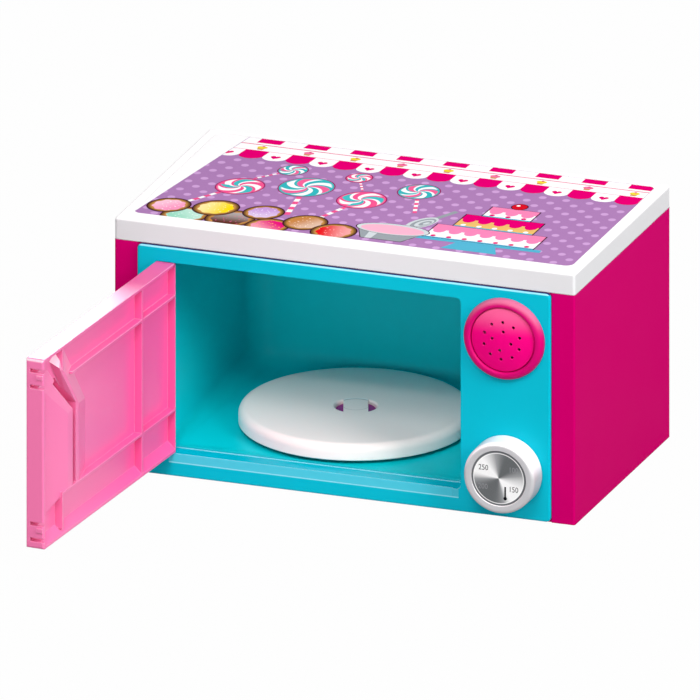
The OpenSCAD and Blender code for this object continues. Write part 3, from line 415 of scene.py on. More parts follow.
@dataclass(frozen=True)
class DoorPlastic(MouldedPlastic):
    """The door's plastic, a little paler from near the hinge to the far, free end: painted light."""

    near: float = -110.0
    far: float = -250.0
    fade: float = 0.09

    def colours(self, sheet: NodeSheet, place: Socket) -> Socket:
        """The plastic's colour along the door, with painted light that grows towards the free end."""
        # Painted light: the colour turns paler towards the free end.
        share = sheet.span(sheet.axes(place)["Y"], self.near * MM, self.far * MM, (0.0, self.fade))
        return sheet.mix(share, super().colours(sheet, place), ink(PAINTED_LIGHT_WHITE))


@dataclass(frozen=True)
class PlatePlastic(MouldedPlastic):
    """The plate's plastic, with the fine lines that the light draws round its finger bar.

    Attributes:
        centre: the plate's centre, in metres.
        turn: the finger bar's turn, in degrees.
        bar_half: half the finger bar's width.
        bar_soft: the width over which the lines end at its sides.
        fade: the length over which they fade out towards its middle.
        lines: each line's end of the bar (1 behind, -1 before), radius, half width, tint and share.
        core: the part of the half width that has the full tint.
    """

    centre: Point = (0.0, 0.0, 0.0)
    turn: float = -20.0
    bar_half: float = 7.65
    bar_soft: float = 0.6
    fade: float = 4.0
    lines: tuple[tuple[int, float, float, Colour, float], ...] = (
        (1, 11.7, 0.8, (96, 92, 98), 0.45), (1, 12.7, 0.7, WHITE, 1.0), (-1, 8.3, 0.5, (110, 108, 114), 0.25),
    )
    core: float = 0.4

    def colours(self, sheet: NodeSheet, place: Socket) -> Socket:
        """The plastic's colour with the lines.

        Args:
            sheet: the node tree.
            place: the coordinates.

        Returns:
            The colour's socket.
        """
        axes = sheet.axes(sheet.place(centre=self.centre, turn=self.turn))
        reach = sheet.reach(sheet.add("CombineXYZ", X=axes["X"], Y=axes["Y"]).outputs[0])
        side = sheet.math("ABSOLUTE", axes["X"])
        inside = sheet.span(side, self.bar_half * MM, (self.bar_half - self.bar_soft) * MM)
        colour = super().colours(sheet, place)
        for end, r, half, tint, share in self.lines:
            where = sheet.times(inside, sheet.span(axes["Y"], 0.0, end * self.fade * MM))
            away = sheet.math("ABSOLUTE", sheet.math("SUBTRACT", reach, r * MM))
            ring = sheet.span(away, half * MM, half * self.core * MM, (0.0, share))
            colour = sheet.mix(sheet.times(ring, where), colour, ink(tint))
        return colour


@dataclass(frozen=True)
class PlatedSteel:
    """Bright plated steel with fine marks, for screws, springs and contacts."""

    name: str
    colour: Colour = (196, 198, 202)
    roughness: float = 0.32
    marks: float = 900.0
    wear: tuple[float, float] = (0.3, 0.7)
    wear_shade: float = 0.85
    polish: tuple[float, float] = (0.75, 1.3)
    depth: float = 0.01
    strength: float = 0.3

    def material(self) -> bpy.types.Material:
        """Builds the material.

        Returns:
            The material.
        """
        sheet = NodeSheet(self.name)
        worn = sheet.noise(sheet.place(), self.marks, 3)
        rough = sheet.span(worn, *self.wear, tuple(self.roughness * share for share in self.polish))
        tint = sheet.mix(worn, ink(self.colour), ink(darker(self.colour, self.wear_shade)))
        skin = sheet.add("Bump", Strength=self.strength, Distance=self.depth * MM, Height=worn).outputs[0]
        shader = sheet.add("BsdfPrincipled", Base_Color=tint, Roughness=rough, Normal=skin, Metallic=1.0)
        return sheet.finish(shader)


@dataclass(frozen=True)
class TurnedDisc:
    """Silver disc brushed in circles, with a painted reflection on it: the light and dark sectors that such a
    face reflects.

    Attributes:
        name: the material's name.
        centre: the disc's centre, in metres.
        bright: the colour of the painted reflection's light sectors and of the rim's painted highlight.
        mid: the colour between the sectors.
        dark: the colour of the painted reflection's dark sectors.
        rim_shadow: the colour of the painted shadow outside the rim.
        turn: the sectors' turn, in radians.
        sweeps: how many broad and how many narrow sectors go round.
        ripple: the strength of the narrow ones.
        rings: how many brushed rings there are to the metre.
        brushed: how strongly the rings show.
        rim: the radius of the painted highlight line, in millimetres.
        metallic: the share of metal.
        roughness: the disc's roughness.
        depth: the depth of the brushed rings, in millimetres.
        strength: how strongly they catch the light.
    """

    name: str
    centre: Point
    bright: Colour = (250, 250, 250)
    mid: Colour = (150, 152, 154)
    dark: Colour = (84, 88, 90)
    rim_shadow: Colour = (96, 98, 102)
    turn: float = 2.793
    sweeps: tuple[float, float] = (2.0, 5.0)
    ripple: float = 0.14
    rings: float = 9000.0
    brushed: float = 0.22
    rim: float = 16.4
    metallic: float = 0.45
    roughness: float = 0.38
    depth: float = 0.01
    strength: float = 0.25

    def sectors(self, sheet: NodeSheet, place: Socket) -> Socket:
        """The light and dark sectors of the painted reflection.

        Args:
            sheet: the node tree.
            place: the coordinates round the centre.

        Returns:
            The colour's socket.
        """
        axes = sheet.axes(place)
        angle = sheet.math("ARCTAN2", axes["Z"], axes["X"])
        broad, narrow = (sheet.times(angle, sweep) for sweep in self.sweeps)
        wave = sheet.math("SINE", sheet.math("ADD", broad, self.turn))
        ripple = sheet.times(sheet.math("SINE", narrow), self.ripple)
        ramp = sheet.add("ValToRGB", i0=sheet.span(sheet.math("ADD", wave, ripple), -1.0, 1.1))
        stops = ramp.color_ramp.elements
        stops[0].position, stops[0].color = 0.0, ink(self.dark)
        stops[1].position, stops[1].color = 0.95, ink(self.bright)
        stops.new(0.5).color = ink(self.mid)
        return ramp.outputs[0]

    def material(self) -> bpy.types.Material:
        """Builds the material.

        Returns:
            The material.
        """
        sheet = NodeSheet(self.name)
        place = sheet.place(centre=self.centre)
        radius = sheet.reach(place)
        outward = {"noise_dimensions": "1D"}
        rings = sheet.add("TexNoise", outward, W=radius, Scale=self.rings, Detail=3.0).outputs[0]
        shown = sheet.span(rings, 0.3, 0.8, (0.0, self.brushed))
        colour = sheet.mix(shown, self.sectors(sheet, place), ink(self.mid))
        # Painted highlight just inside the rim and painted shadow outside it.
        rim_highlight_and_shadow = ((-0.5, -0.3, 0.8, self.bright), (0.0, 0.25, 1.0, self.rim_shadow))
        for low, high, share, tint in rim_highlight_and_shadow:
            border = sheet.span(radius, (self.rim + low) * MM, (self.rim + high) * MM, (0.0, share))
            colour = sheet.mix(border, colour, ink(tint))
        skin = sheet.add("Bump", Strength=self.strength, Distance=self.depth * MM, Height=rings).outputs[0]
        return sheet.finish(sheet.add(
            "BsdfPrincipled", Base_Color=colour, Normal=skin, Metallic=self.metallic,
            Roughness=self.roughness,
        ))


@dataclass(frozen=True)
class PrintInk:
    """A flat printed colour under clear film."""

    name: str
    colour: Colour
    roughness: float = 0.55

    grain_scale: ClassVar[float] = 700.0
    grain: ClassVar[tuple[float, float]] = (0.45, 0.75)
    grain_shade: ClassVar[float] = 0.97
    grain_share: ClassVar[float] = 0.5

    def colours(self, sheet: NodeSheet) -> Socket:
        """The ink with a faint grain."""
        grain = sheet.span(sheet.noise(sheet.place(), self.grain_scale), *self.grain, (0.0, self.grain_share))
        return sheet.mix(grain, ink(self.colour), ink(darker(self.colour, self.grain_shade)))

    def material(self) -> bpy.types.Material:
        """Builds the material."""
        sheet = NodeSheet(self.name)
        return sheet.finish(sheet.add(
            "BsdfPrincipled", Base_Color=self.colours(sheet), Roughness=self.roughness,
            Specular_IOR_Level=0.0,
        ))


@dataclass(frozen=True)
class PolkaInk(PrintInk):
    """Printed ground with staggered polka dots. Lengths are in millimetres."""

    dot: Colour = (208, 164, 215)
    dot_share: float = 0.85
    dot_r: float = 2.4
    dot_soft: float = 0.35
    pitch: float = 15.3

    def colours(self, sheet: NodeSheet) -> Socket:
        """The ground with its dots.

        Args:
            sheet: the node tree.

        Returns:
            The colour's socket.
        """
        ground = super().colours(sheet)
        dots = []
        for shift in (0.0, self.pitch / 2 * MM):
            axes = sheet.axes(sheet.place(centre=(shift, shift, 0)))
            folded = [sheet.math("PINGPONG", axes[axis], self.pitch * MM / 2) for axis in "XY"]
            reach = sheet.math("SQRT", sheet.math("ADD", *(sheet.times(side, side) for side in folded)))
            low, high = (self.dot_r + self.dot_soft) * MM, (self.dot_r - self.dot_soft) * MM
            dots.append(sheet.span(reach, low, high, (0.0, self.dot_share)))
        return sheet.mix(sheet.math("MAXIMUM", *dots), ground, ink(self.dot))


@dataclass(frozen=True)
class SwirlInk(PrintInk):
    """Sugar swirl of a lollipop, measured on the UV map, whose unit circle is the candy."""

    sugar: Colour = (250, 250, 252)
    stripe: Colour = (64, 178, 186)
    arms: int = 5
    twist: float = 9.0
    arm_edge: tuple[float, float] = (-0.15, 0.15)
    stripe_edge: tuple[float, float] = (0.55, 0.75)
    rim: tuple[float, float] = (0.86, 0.96)

    def colours(self, sheet: NodeSheet) -> Socket:
        """Arms that wind outwards inside a plain rim.

        Args:
            sheet: the node tree.

        Returns:
            The colour's socket.
        """
        place = sheet.place(Coordinates.UV)
        axes, reach = sheet.axes(place), sheet.reach(place)
        angle = sheet.math("ARCTAN2", axes["Y"], axes["X"])
        wound = sheet.math("ADD", sheet.times(angle, float(self.arms)), sheet.times(reach, self.twist))
        arm = sheet.span(sheet.math("SINE", wound), *self.arm_edge)
        stripe = sheet.span(sheet.math("SINE", sheet.times(wound, 0.5)), *self.stripe_edge)
        candy = sheet.mix(arm, ink(self.colour), ink(self.sugar))
        candy = sheet.mix(stripe, candy, ink(self.stripe))
        return sheet.mix(sheet.span(reach, *self.rim), candy, ink(self.colour))


@dataclass(frozen=True)
class BiscuitInk(PrintInk):
    """Round iced biscuit with sprinkles, measured on the UV map, whose unit circle is the biscuit."""

    icing: Colour = (240, 120, 170)
    sprinkle: Colour = (255, 240, 250)
    waves: float = 9.0
    wave_h: float = 0.035
    icing_edge: tuple[float, float] = (0.8, 0.76)
    crust: tuple[float, float] = (0.8, 0.98)
    crust_shade: float = 0.55
    sprinkles: float = 6.5
    sprinkle_r: tuple[float, float] = (0.27, 0.2)
    sprinkle_share: float = 0.9
    sprinkle_stray: float = 0.9
    shine: float = 0.35
    shine_edge: tuple[float, float] = (-0.9, 1.1)

    def colours(self, sheet: NodeSheet) -> Socket:
        """Dough at the rim, wavy icing inside it, and sprinkles on the icing.

        Args:
            sheet: the node tree.

        Returns:
            The colour's socket.
        """
        place = sheet.place(Coordinates.UV)
        axes, reach = sheet.axes(place), sheet.reach(place)
        angle = sheet.math("ARCTAN2", axes["Y"], axes["X"])
        wobble = sheet.times(sheet.math("SINE", sheet.times(angle, self.waves)), self.wave_h)
        cells = sheet.add(
            "TexVoronoi", {"feature": "F1"}, Vector=place, Scale=self.sprinkles,
            Randomness=self.sprinkle_stray,
        ).outputs["Distance"]
        dots = sheet.times(sheet.span(cells, *self.sprinkle_r), self.sprinkle_share)
        shine = sheet.span(sheet.math("ADD", axes["X"], axes["Y"]), *self.shine_edge, (0.0, self.shine))
        iced = sheet.mix(dots, sheet.mix(shine, ink(self.icing), ink(WHITE)), ink(self.sprinkle))
        dough = sheet.mix(
            sheet.span(reach, *self.crust), ink(self.colour), ink(darker(self.colour, self.crust_shade)),
        )
        return sheet.mix(sheet.span(sheet.math("ADD", reach, wobble), *self.icing_edge), dough, iced)


def dress(finish: Finish, *nodes: str) -> None:
    """Gives CAD nodes a finish.

    Args:
        finish: the finish.
        nodes: the nodes' names.
    """
    material = finish.material()
    for name in nodes:
        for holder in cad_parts[name].material_slots:
            holder.material = material
        log.info("%s wears %s", name, material.name)


def put(name: str, data: bpy.types.ID) -> bpy.types.Object:
    """Makes an object of its data and adds it to the scene.

    Args:
        name: the object's name.
        data: a mesh, camera or light.

    Returns:
        The object.
    """
    thing = bpy.data.objects.new(name, data)
    bpy.context.scene.collection.objects.link(thing)
    return thing


def mesh_of(mesh: bmesh.types.BMesh, name: str, materials: Iterable[bpy.types.Material]) -> bpy.types.Mesh:
    """Makes mesh data of a finished bmesh.

    Args:
        mesh: the bmesh. It is freed.
        name: the data's name.
        materials: its material slots.

    Returns:
        The mesh.
    """
    data = bpy.data.meshes.new(name)
    mesh.to_mesh(data)
    mesh.free()
    for material in materials:
        data.materials.append(material)
    return data


def settle(
    mesh: bmesh.types.BMesh, name: str, materials: Iterable[bpy.types.Material], body: Body,
) -> None:
    """Makes a flat-shaded piece of a finished bmesh and lets it ride.

    Args:
        mesh: the bmesh, in the object's frame, in metres. It is freed.
        name: the piece's name.
        materials: its material slots.
        body: the body it rides on.
    """
    data = mesh_of(mesh, name, materials)
    data.polygons.foreach_set("use_smooth", [False] * len(data.polygons))
    piece = put(name, data)
    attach(piece, body.value)
    log.info("%s has %d faces and rides on %s", name, len(data.polygons), body.value)


@dataclass
class Shell:
    """Case, base and fasteners."""

    case_colour: Colour = (203, 0, 104)
    inner_colour: Colour = (222, 222, 218)

    def build(self) -> None:
        """Dresses the case, the base plate, the battery bay, the sound unit and the screws."""
        # The mouldings here keep a painted highlight on their edges: faint on the case and the inner parts,
        # at its default strength on the rest, none on the cells.
        case = MouldedPlastic(
            "case_plastic", self.case_colour, roughness=0.42, level=0.003, edge=0.8, edge_highlight=0.1,
        )
        dress(case, "case_shell")
        base = MouldedPlastic("base_plastic", self.case_colour, roughness=0.5, level=0.15, grain=0.03)
        dress(base, "base_plate", "battery_door")
        inner = MouldedPlastic("inner_plastic", self.inner_colour, roughness=0.5, edge_highlight=0.1)
        dress(inner, "battery_box", "sound_housing", "click_wheel")
        dress(
            PlatedSteel("plated_steel"), "base_screws", "lid_screws", "panel_screws", "liner_screws",
            "housing_screws", "battery_box_screws", "battery_door_screw", "turntable_screw", "knob_screw",
            "knob_washer",
        )
        dress(
            PlatedSteel("spring_steel", (205, 206, 208), 0.22, 1500.0),
            "button_spring", "contact_springs", "contact_plates", "click_spring", "speaker_frame",
        )
        dress(PlatedSteel("magnet_ferrite", (92, 94, 100), 0.5, 500.0), "speaker_magnet")
        dress(MouldedPlastic("cone_film", (44, 44, 48), roughness=0.6, grain=0.04), "speaker_cone")
        dress(MouldedPlastic("board_lacquer", (20, 112, 60), roughness=0.3, coat=0.4), "sound_board")
        dress(MouldedPlastic("switch_plastic", (26, 26, 28), roughness=0.45), "board_switch")
        cells = MouldedPlastic("cell_jacket", (52, 58, 68), roughness=0.25, coat=0.5, edge_highlight=0.0)
        dress(cells, "batteries")


@dataclass
class PrintSheet:
    """Thin shapes of ink on the lid's film, gathered in one mesh, one material slot an ink.

    All of it is in millimetres, in the object's frame.

    Attributes:
        level: the height of the film's face.
        step: the height of a layer.
        inks: the inks used so far.
        mesh: the shapes laid so far.
    """

    level: float
    step: float = 0.018
    inks: list[PrintInk] = field(default_factory=list)
    mesh: bmesh.types.BMesh = field(default_factory=bmesh.new)

    def slot_of(self, colour: PrintInk) -> int:
        """The material slot of an ink, added when it is new.

        Args:
            colour: the ink.

        Returns:
            The slot's place.
        """
        if colour not in self.inks:
            self.inks.append(colour)
        return self.inks.index(colour)

    def lay(
        self, verts: Sequence[bmesh.types.BMVert], colour: PrintInk, layer: float, x: float, y: float,
        turn: float = 0.0, squeeze: float = 1.0,
    ) -> None:
        """Puts a new shape in its place.

        Args:
            verts: its points, round the origin.
            colour: its ink.
            layer: how many layers lie under it.
            x: its centre on the lid.
            y: its centre on the lid.
            turn: its turn in degrees.
            squeeze: the share of its height that is kept.
        """
        lift = Matrix.Translation((x, y, self.level + self.step * (layer + 1)))
        turned = Matrix.Rotation(math.radians(turn), 4, "Z") @ Matrix.Diagonal((1, squeeze, 1, 1))
        size = max(v.co.length for v in verts)
        unit = self.mesh.loops.layers.uv.verify()
        faces = list({f for v in verts for f in v.link_faces})
        for face in faces:
            face.material_index = self.slot_of(colour)
            for loop in face.loops:
                loop[unit].uv = (loop.vert.co.x / size, loop.vert.co.y / size)
        bmesh.ops.transform(self.mesh, matrix=lift @ turned, verts=list(verts))
        for face in faces:
            face.normal_update()
        bmesh.ops.reverse_faces(self.mesh, faces=[f for f in faces if f.normal.z < 0])

    def disc(
        self, x: float, y: float, r: float, colour: PrintInk, layer: float, squeeze: float = 1.0,
        turn: float = 0.0,
    ) -> None:
        """Prints a disc of radius r, its height squeezed to a share, then turned by some degrees."""
        made = bmesh.ops.create_circle(self.mesh, cap_ends=True, segments=40, radius=r)
        self.lay(made["verts"], colour, layer, x, y, turn, squeeze)

    def block(
        self, x: float, y: float, w: float, h: float, colour: PrintInk, layer: float, turn: float = 0.0,
        taper: float = 0.0,
    ) -> None:
        """Prints a rectangle or a tapered one.

        Args:
            x: its centre.
            y: its centre.
            w: its width.
            h: its height.
            colour: its ink.
            layer: how many layers lie under it.
            turn: its turn in degrees.
            taper: the share by which its lower side is narrower.
        """
        made = bmesh.ops.create_grid(self.mesh, x_segments=1, y_segments=1, size=0.5)
        for vert in made["verts"]:
            narrow = 1 - taper if vert.co.y < 0 else 1
            vert.co = Vector((vert.co.x * w * narrow, vert.co.y * h, 0))
        self.lay(made["verts"], colour, layer, x, y, turn)

    def heart(self, x: float, y: float, size: float, colour: PrintInk, layer: float) -> None:
        """Prints a heart: a circle whose points are drawn in to the heart's curve.

        Args:
            x: its centre.
            y: its centre.
            size: its width.
            colour: its ink.
            layer: how many layers lie under it.
        """
        made = bmesh.ops.create_circle(self.mesh, cap_ends=True, segments=32, radius=1.0)
        for vert in made["verts"]:
            a = math.atan2(vert.co.x, vert.co.y)
            width = 16 * math.sin(a) ** 3
            height = 13 * math.cos(a) - 5 * math.cos(2 * a) - 2 * math.cos(3 * a) - math.cos(4 * a)
            vert.co = Vector((width, height, 0)) * size / 32
        self.lay(made["verts"], colour, layer, x, y)

    def fit(self, low: Vector, high: Vector, lean: float) -> None:
        """Cuts the print off at the film's edges and leans its left side.

        Args:
            low: the print's lowest corner.
            high: the print's highest corner.
            lean: the share of the width that is lost at the back.
        """
        for normal in (Vector((0, 1, 0)), Vector((1, 0, 0))):
            for corner, out in ((low, -normal), (high, normal)):
                parts = self.mesh.verts[:] + self.mesh.edges[:] + self.mesh.faces[:]
                bmesh.ops.bisect_plane(self.mesh, geom=parts, plane_co=corner, plane_no=out, clear_outer=True)
        for vert in self.mesh.verts:
            back = (vert.co.y - low.y) / (high.y - low.y)
            vert.co.x = high.x - (high.x - vert.co.x) * (1 - lean * back)


@dataclass
class Lid:
    """White lid with a printed film: polka dots, a scalloped awning and sweets. It is in millimetres.

    Attributes:
        lean: the share of the film's width that its left edge leans in at the back.
        trim: the border round the print that stays bare.
        corner: the width of the white margin at its front end.
        margin_layer: how many layers lie under the margin.
        pitch: the length of a magenta and a white scallop together.
        first: how far the first scallop's middle lies from the right edge.
        white: the ink of the awning and the cream.
        red: the magenta ink.
        line: the dark outlines' ink.
        low: the film's lowest corner.
        high: the film's highest corner.
    """

    lean: float = 0.074
    trim: float = 0.2
    corner: float = 0.3
    margin_layer: float = 8.0
    pitch: float = 32.5
    first: float = 8.5
    white: PrintInk = PrintInk("film_white", (252, 250, 251))
    red: PrintInk = PrintInk("film_magenta", (226, 0, 112))
    line: PrintInk = PrintInk("film_line", (62, 22, 44))
    low: Vector = field(init=False)
    high: Vector = field(init=False)

    def build(self) -> None:
        """Dresses the lid and prints its film."""
        # Painted shade on the lid's lower edges and a painted sheen on its top, where the skin faces up.
        lid = MouldedPlastic(
            "lid_plastic", (222, 222, 224), roughness=0.6, level=0.02, edge=0.9, edge_highlight=0.0, under_edge_shade=1.0,
            painted_sheen=1.0, sheen_full_at=0.8,
        )
        dress(lid, "top_panel")
        dress(PolkaInk("film_ground", (170, 124, 178)), "top_label")
        low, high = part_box("top_label")
        self.low, self.high = low / MM, high / MM
        sheet = PrintSheet(level=self.high.z)
        for motif in (self.awning, self.biscuits, self.lollipops, self.cake, self.bowl):
            motif(sheet)
        border = Vector((self.trim, self.trim, 0))
        sheet.fit(self.low + border, self.high - border, self.lean)
        self.margin(sheet)
        bmesh.ops.scale(sheet.mesh, vec=(MM, MM, MM), verts=sheet.mesh.verts[:])
        settle(sheet.mesh, "lid_print", [i.material() for i in sheet.inks], Body.CASE)

    def margin(self, sheet: PrintSheet) -> None:
        """Prints the white margin left of the leaning edge.

        Args:
            sheet: the print.
        """
        wide, deep = (self.high.x - self.low.x) * self.lean, self.high.y - self.low.y
        made = bmesh.ops.create_grid(sheet.mesh, x_segments=1, y_segments=1, size=0.5)
        for vert in made["verts"]:
            reach = wide if vert.co.x > 0 and vert.co.y > 0 else self.corner
            vert.co = Vector((reach if vert.co.x > 0 else 0.0, (vert.co.y + 0.5) * deep, 0))
        sheet.lay(made["verts"], self.white, self.margin_layer, self.low.x, self.low.y)

    def awning(self, sheet: PrintSheet) -> None:
        """Prints the scalloped awning along the back edge.

        Args:
            sheet: the print.
        """
        x0, x1, back = self.low.x, self.high.x, self.high.y
        wide, middle, width = x1 - x0, (x0 + x1) / 2, self.pitch / 2
        sheet.block(middle, back - 15.0, wide, 30.0, self.white, 0)
        for y in (back - 11.0, back - 21.5):
            sheet.block(middle, y, wide, 0.9, self.red, 1)
        for i in range(round(wide / width) + 1):
            x = x1 - self.first - width * i
            magenta = i % 2 == 0
            scallop = self.red if magenta else self.white
            if magenta:
                sheet.block(x, back - 4.0, width, 7.4, self.red, 1)
                self.muffin(sheet, x, back - 16.4, i // 2)
            sheet.block(x, back - 26.0, width, 9.0, scallop, 2)
            sheet.disc(x, back - 30.4, width / 2, scallop, 2.4, 0.72)
            if not magenta:
                sheet.heart(x, back - 29.6, 6.6, self.red, 3)

    def muffin(self, sheet: PrintSheet, x: float, y: float, place: int) -> None:
        """Prints a small muffin in the awning's band.

        Args:
            sheet: the print.
            x: its centre.
            y: its centre.
            place: its place in the row, which picks its icing.
        """
        icing = (PrintInk("film_lemon", (238, 214, 60)), PrintInk("film_rose", (240, 120, 160)))[place % 2]
        sheet.block(x, y - 1.5, 5.2, 3.4, PrintInk("film_case", (214, 148, 92)), 2, taper=0.3)
        sheet.disc(x, y + 1.0, 3.5, icing, 3, 0.62)
        sheet.disc(x, y + 2.7, 0.9, self.red, 4)

    def biscuits(self, sheet: PrintSheet) -> None:
        """Prints the heap of iced biscuits at the left front, each with a dark outline.

        Args:
            sheet: the print.
        """
        heap = (
            ("mint", -112.0, -66.0, 14.0, (150, 214, 190), (250, 250, 250)),
            ("cocoa", -84.0, -62.5, 14.5, (92, 44, 30), (236, 92, 150)),
            ("rose", -129.0, -52.5, 12.5, (246, 150, 190), WHITE),
            ("lemon", -100.5, -47.5, 13.5, (248, 214, 22), (255, 250, 200)),
            ("magenta", -57.5, -67.5, 13.0, (226, 20, 120), (250, 200, 60)),
            ("lilac", -70.0, -45.5, 12.0, (196, 150, 214), WHITE),
            ("caramel", -38.5, -54.0, 13.0, (196, 128, 66), (246, 232, 206)),
            ("cherry", -16.0, -63.0, 13.5, (226, 26, 34), (255, 190, 190)),
        )
        outline, turn = 0.9, 47.0
        for place, (name, x, y, r, icing, sprinkle) in enumerate(heap):
            layer = 1 + place * 0.5
            sheet.disc(x, y, r + outline, self.line, layer)
            dough = BiscuitInk("film_biscuit_" + name, (196, 138, 72), icing=icing, sprinkle=sprinkle)
            sheet.disc(x, y, r, dough, layer + 0.25, turn=place * turn)

    def lollipops(self, sheet: PrintSheet) -> None:
        """Prints swirl lollipops on striped sticks.

        Args:
            sheet: the print.
        """
        sweets = (
            (-105.0, -6.0, 14.5, 205.0), (-66.0, 6.0, 17.0, 168.0), (-24.0, -4.0, 15.0, 195.0),
            (-88.0, 32.0, 9.0, 215.0), (-43.0, 33.0, 8.0, 150.0), (3.0, 22.0, 13.0, 160.0),
        )
        swirls = (
            SwirlInk("film_swirl_rose", (238, 84, 142), stripe=(64, 186, 192)),
            SwirlInk("film_swirl_teal", (52, 178, 186), stripe=(240, 96, 150), arms=6),
        )
        sheen_and_highlight_bands = (PrintInk("film_stick", (238, 84, 142)), self.white)
        shade = PrintInk("film_shade", (150, 40, 96))
        stripes, stick_long, stick_wide, outline, turn = 7, 2.025, 0.2, 0.8, 35.0
        for place, (x, y, r, lean) in enumerate(sweets):
            away = Vector((math.sin(math.radians(lean)), math.cos(math.radians(lean))))
            stripe, wide = r * stick_long / stripes, r * stick_wide
            for i in range(stripes):
                at = Vector((x, y)) + away * (r + stripe * (i + 0.5))
                sheet.block(at.x, at.y, wide, stripe + 0.1, sheen_and_highlight_bands[i % 2], 1 + place * 0.1, turn=-lean)
            layer = 2 + place * 0.2
            sheet.disc(x, y, r + outline, shade, layer)
            sheet.disc(x, y, r, swirls[place % 2], layer + 0.1, turn=place * turn)

    def cake(self, sheet: PrintSheet) -> None:
        """Prints a tiered cake on a stand.

        Args:
            sheet: the print.
        """
        x, foot = 74.0, -60.0
        rim, sponge = PrintInk("film_teal", (84, 176, 206)), PrintInk("film_sponge", (232, 186, 108))
        sheet.block(x, foot - 2.0, 26.0, 12.0, rim, 2, taper=-0.4)
        sheet.block(x, foot + 6.0, 84.0, 4.6, rim, 3)
        rose = PrintInk("film_icing", (244, 132, 180))
        tiers = (
            (36.0, 8.0, 24.0, self.white, rose, self.red), (26.0, 32.0, 22.0, sponge, self.red, self.white),
            (16.0, 54.0, 18.0, self.white, rose, self.red),
        )
        for place, (half, low, tall, crumb, icing, bead) in enumerate(tiers):
            wide, low = half * 2, foot + low
            sheet.block(x, low + tall / 2, wide + 1.6, tall + 0.8, self.line, 3.2 + place)
            sheet.block(x, low + tall * 0.36, wide, tall * 0.72, crumb, 3.4 + place)
            sheet.block(x, low + tall * 0.8, wide, tall * 0.4, icing, 3.5 + place)
            drops = 7 - place * 2
            for i in range(drops):
                at = x - half + wide / drops * (i + 0.5)
                sheet.disc(at, low + tall * 0.6, wide / drops * 0.4, icing, 3.6 + place, 1.25)
                sheet.disc(at, low + 3.4, 1.7, bead, 3.7 + place)
            sheet.block(x, low + 0.8, wide, 1.6, rim, 3.8 + place)
        sheet.disc(x, foot + 77.0, 5.6, self.line, 6.9)
        sheet.disc(x, foot + 77.0, 4.9, PrintInk("film_cherry", (214, 18, 40)), 7)
        sheet.disc(x - 1.6, foot + 78.8, 1.3, self.white, 7.1)

    def bowl(self, sheet: PrintSheet) -> None:
        """Prints a steel mixing bowl with batter and a whisk before the cake.

        Args:
            sheet: the print.
        """
        x, y, lean, taper = 16.0, -50.0, -24.0, 0.42
        steel, light = PrintInk("film_steel", (150, 158, 164)), PrintInk("film_bright", (206, 212, 216))
        for i in range(5):
            wire = steel if i % 2 else light
            sheet.disc(x + 12.0 + i * 0.7, y + 20.0, 6.6 - i * 1.3, wire, 2.2 + i * 0.1, 1.9, turn=lean)
        sheet.block(x + 20.4, y + 38.0, 3.6, 18.0, steel, 2, turn=lean)
        sheet.block(x, y - 7.0, 46.0, 20.0, self.line, 3.0, taper=taper)
        sheet.block(x, y - 7.0, 44.6, 18.8, steel, 3.2, taper=taper)
        sheet.block(x - 9.0, y - 7.0, 7.0, 18.8, light, 3.3, turn=3.0, taper=taper)
        sheet.disc(x, y + 3.0, 24.2, self.line, 3.5, 0.4)
        sheet.disc(x, y + 3.0, 23.4, light, 3.7, 0.4)
        sheet.disc(x, y + 2.4, 20.6, PrintInk("film_batter", (246, 176, 200)), 3.9, 0.36)


@dataclass
class Front:
    """Turquoise front panel and the liner of the cavity behind it."""

    panel_colour: Colour = (0, 184, 206)
    # The liner is the panel's turquoise made paler: painted light that brightens the cavity.
    liner_lit_colour: Colour = (0, 206, 216)

    def build(self) -> None:
        """Dresses the panel and the liner."""
        # Painted highlights on the panel's up-facing edges, besides the sill's painted sheen, the lip's
        # painted highlight and the gap's painted shadow.
        panel = PanelPlastic(
            "panel_plastic", self.panel_colour, roughness=0.22, level=0.08, edge=0.8, edge_highlight=0.9,
            highlight_white=0.62, highlight_up_only=True,
        )
        dress(panel, "front_panel")
        liner = MouldedPlastic(
            "liner_plastic", self.liner_lit_colour, roughness=0.4, level=0.15, edge=7.0, edge_highlight=0.0,
        )
        dress(liner, "oven_liner")


@dataclass
class Door:
    """Pink moulded door."""

    colour: Colour = (246, 94, 164)

    def build(self) -> None:
        """Dresses the door."""
        # Painted highlights on the door's edges, a painted sheen on its up-facing skin above 60 mm, and
        # painted light towards its free end.
        door = DoorPlastic(
            "door_plastic", self.colour, roughness=0.3, level=0.26, edge=0.6, edge_highlight=0.7, highlight_white=0.55,
            painted_sheen=0.55, sheen_full_at=0.6, sheen_end=0.84, sheen_from=60.0,
        )
        dress(door, "door")


@dataclass
class Turntable:
    """White plate on its purple hub."""

    plate_colour: Colour = (252, 242, 238)
    hub_colour: Colour = (150, 16, 130)

    def build(self) -> None:
        """Dresses the plate and the hub."""
        low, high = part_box("turntable_plate")
        plate = PlatePlastic(
            "plate_plastic", self.plate_colour, roughness=0.4, level=0.03, edge=0.8, edge_highlight=0.0,
            centre=tuple((low + high) / 2),
        )
        dress(plate, "turntable_plate")
        # The hub keeps the default painted highlight on its edges.
        dress(MouldedPlastic("hub_plastic", self.hub_colour, roughness=0.35), "turntable_hub")


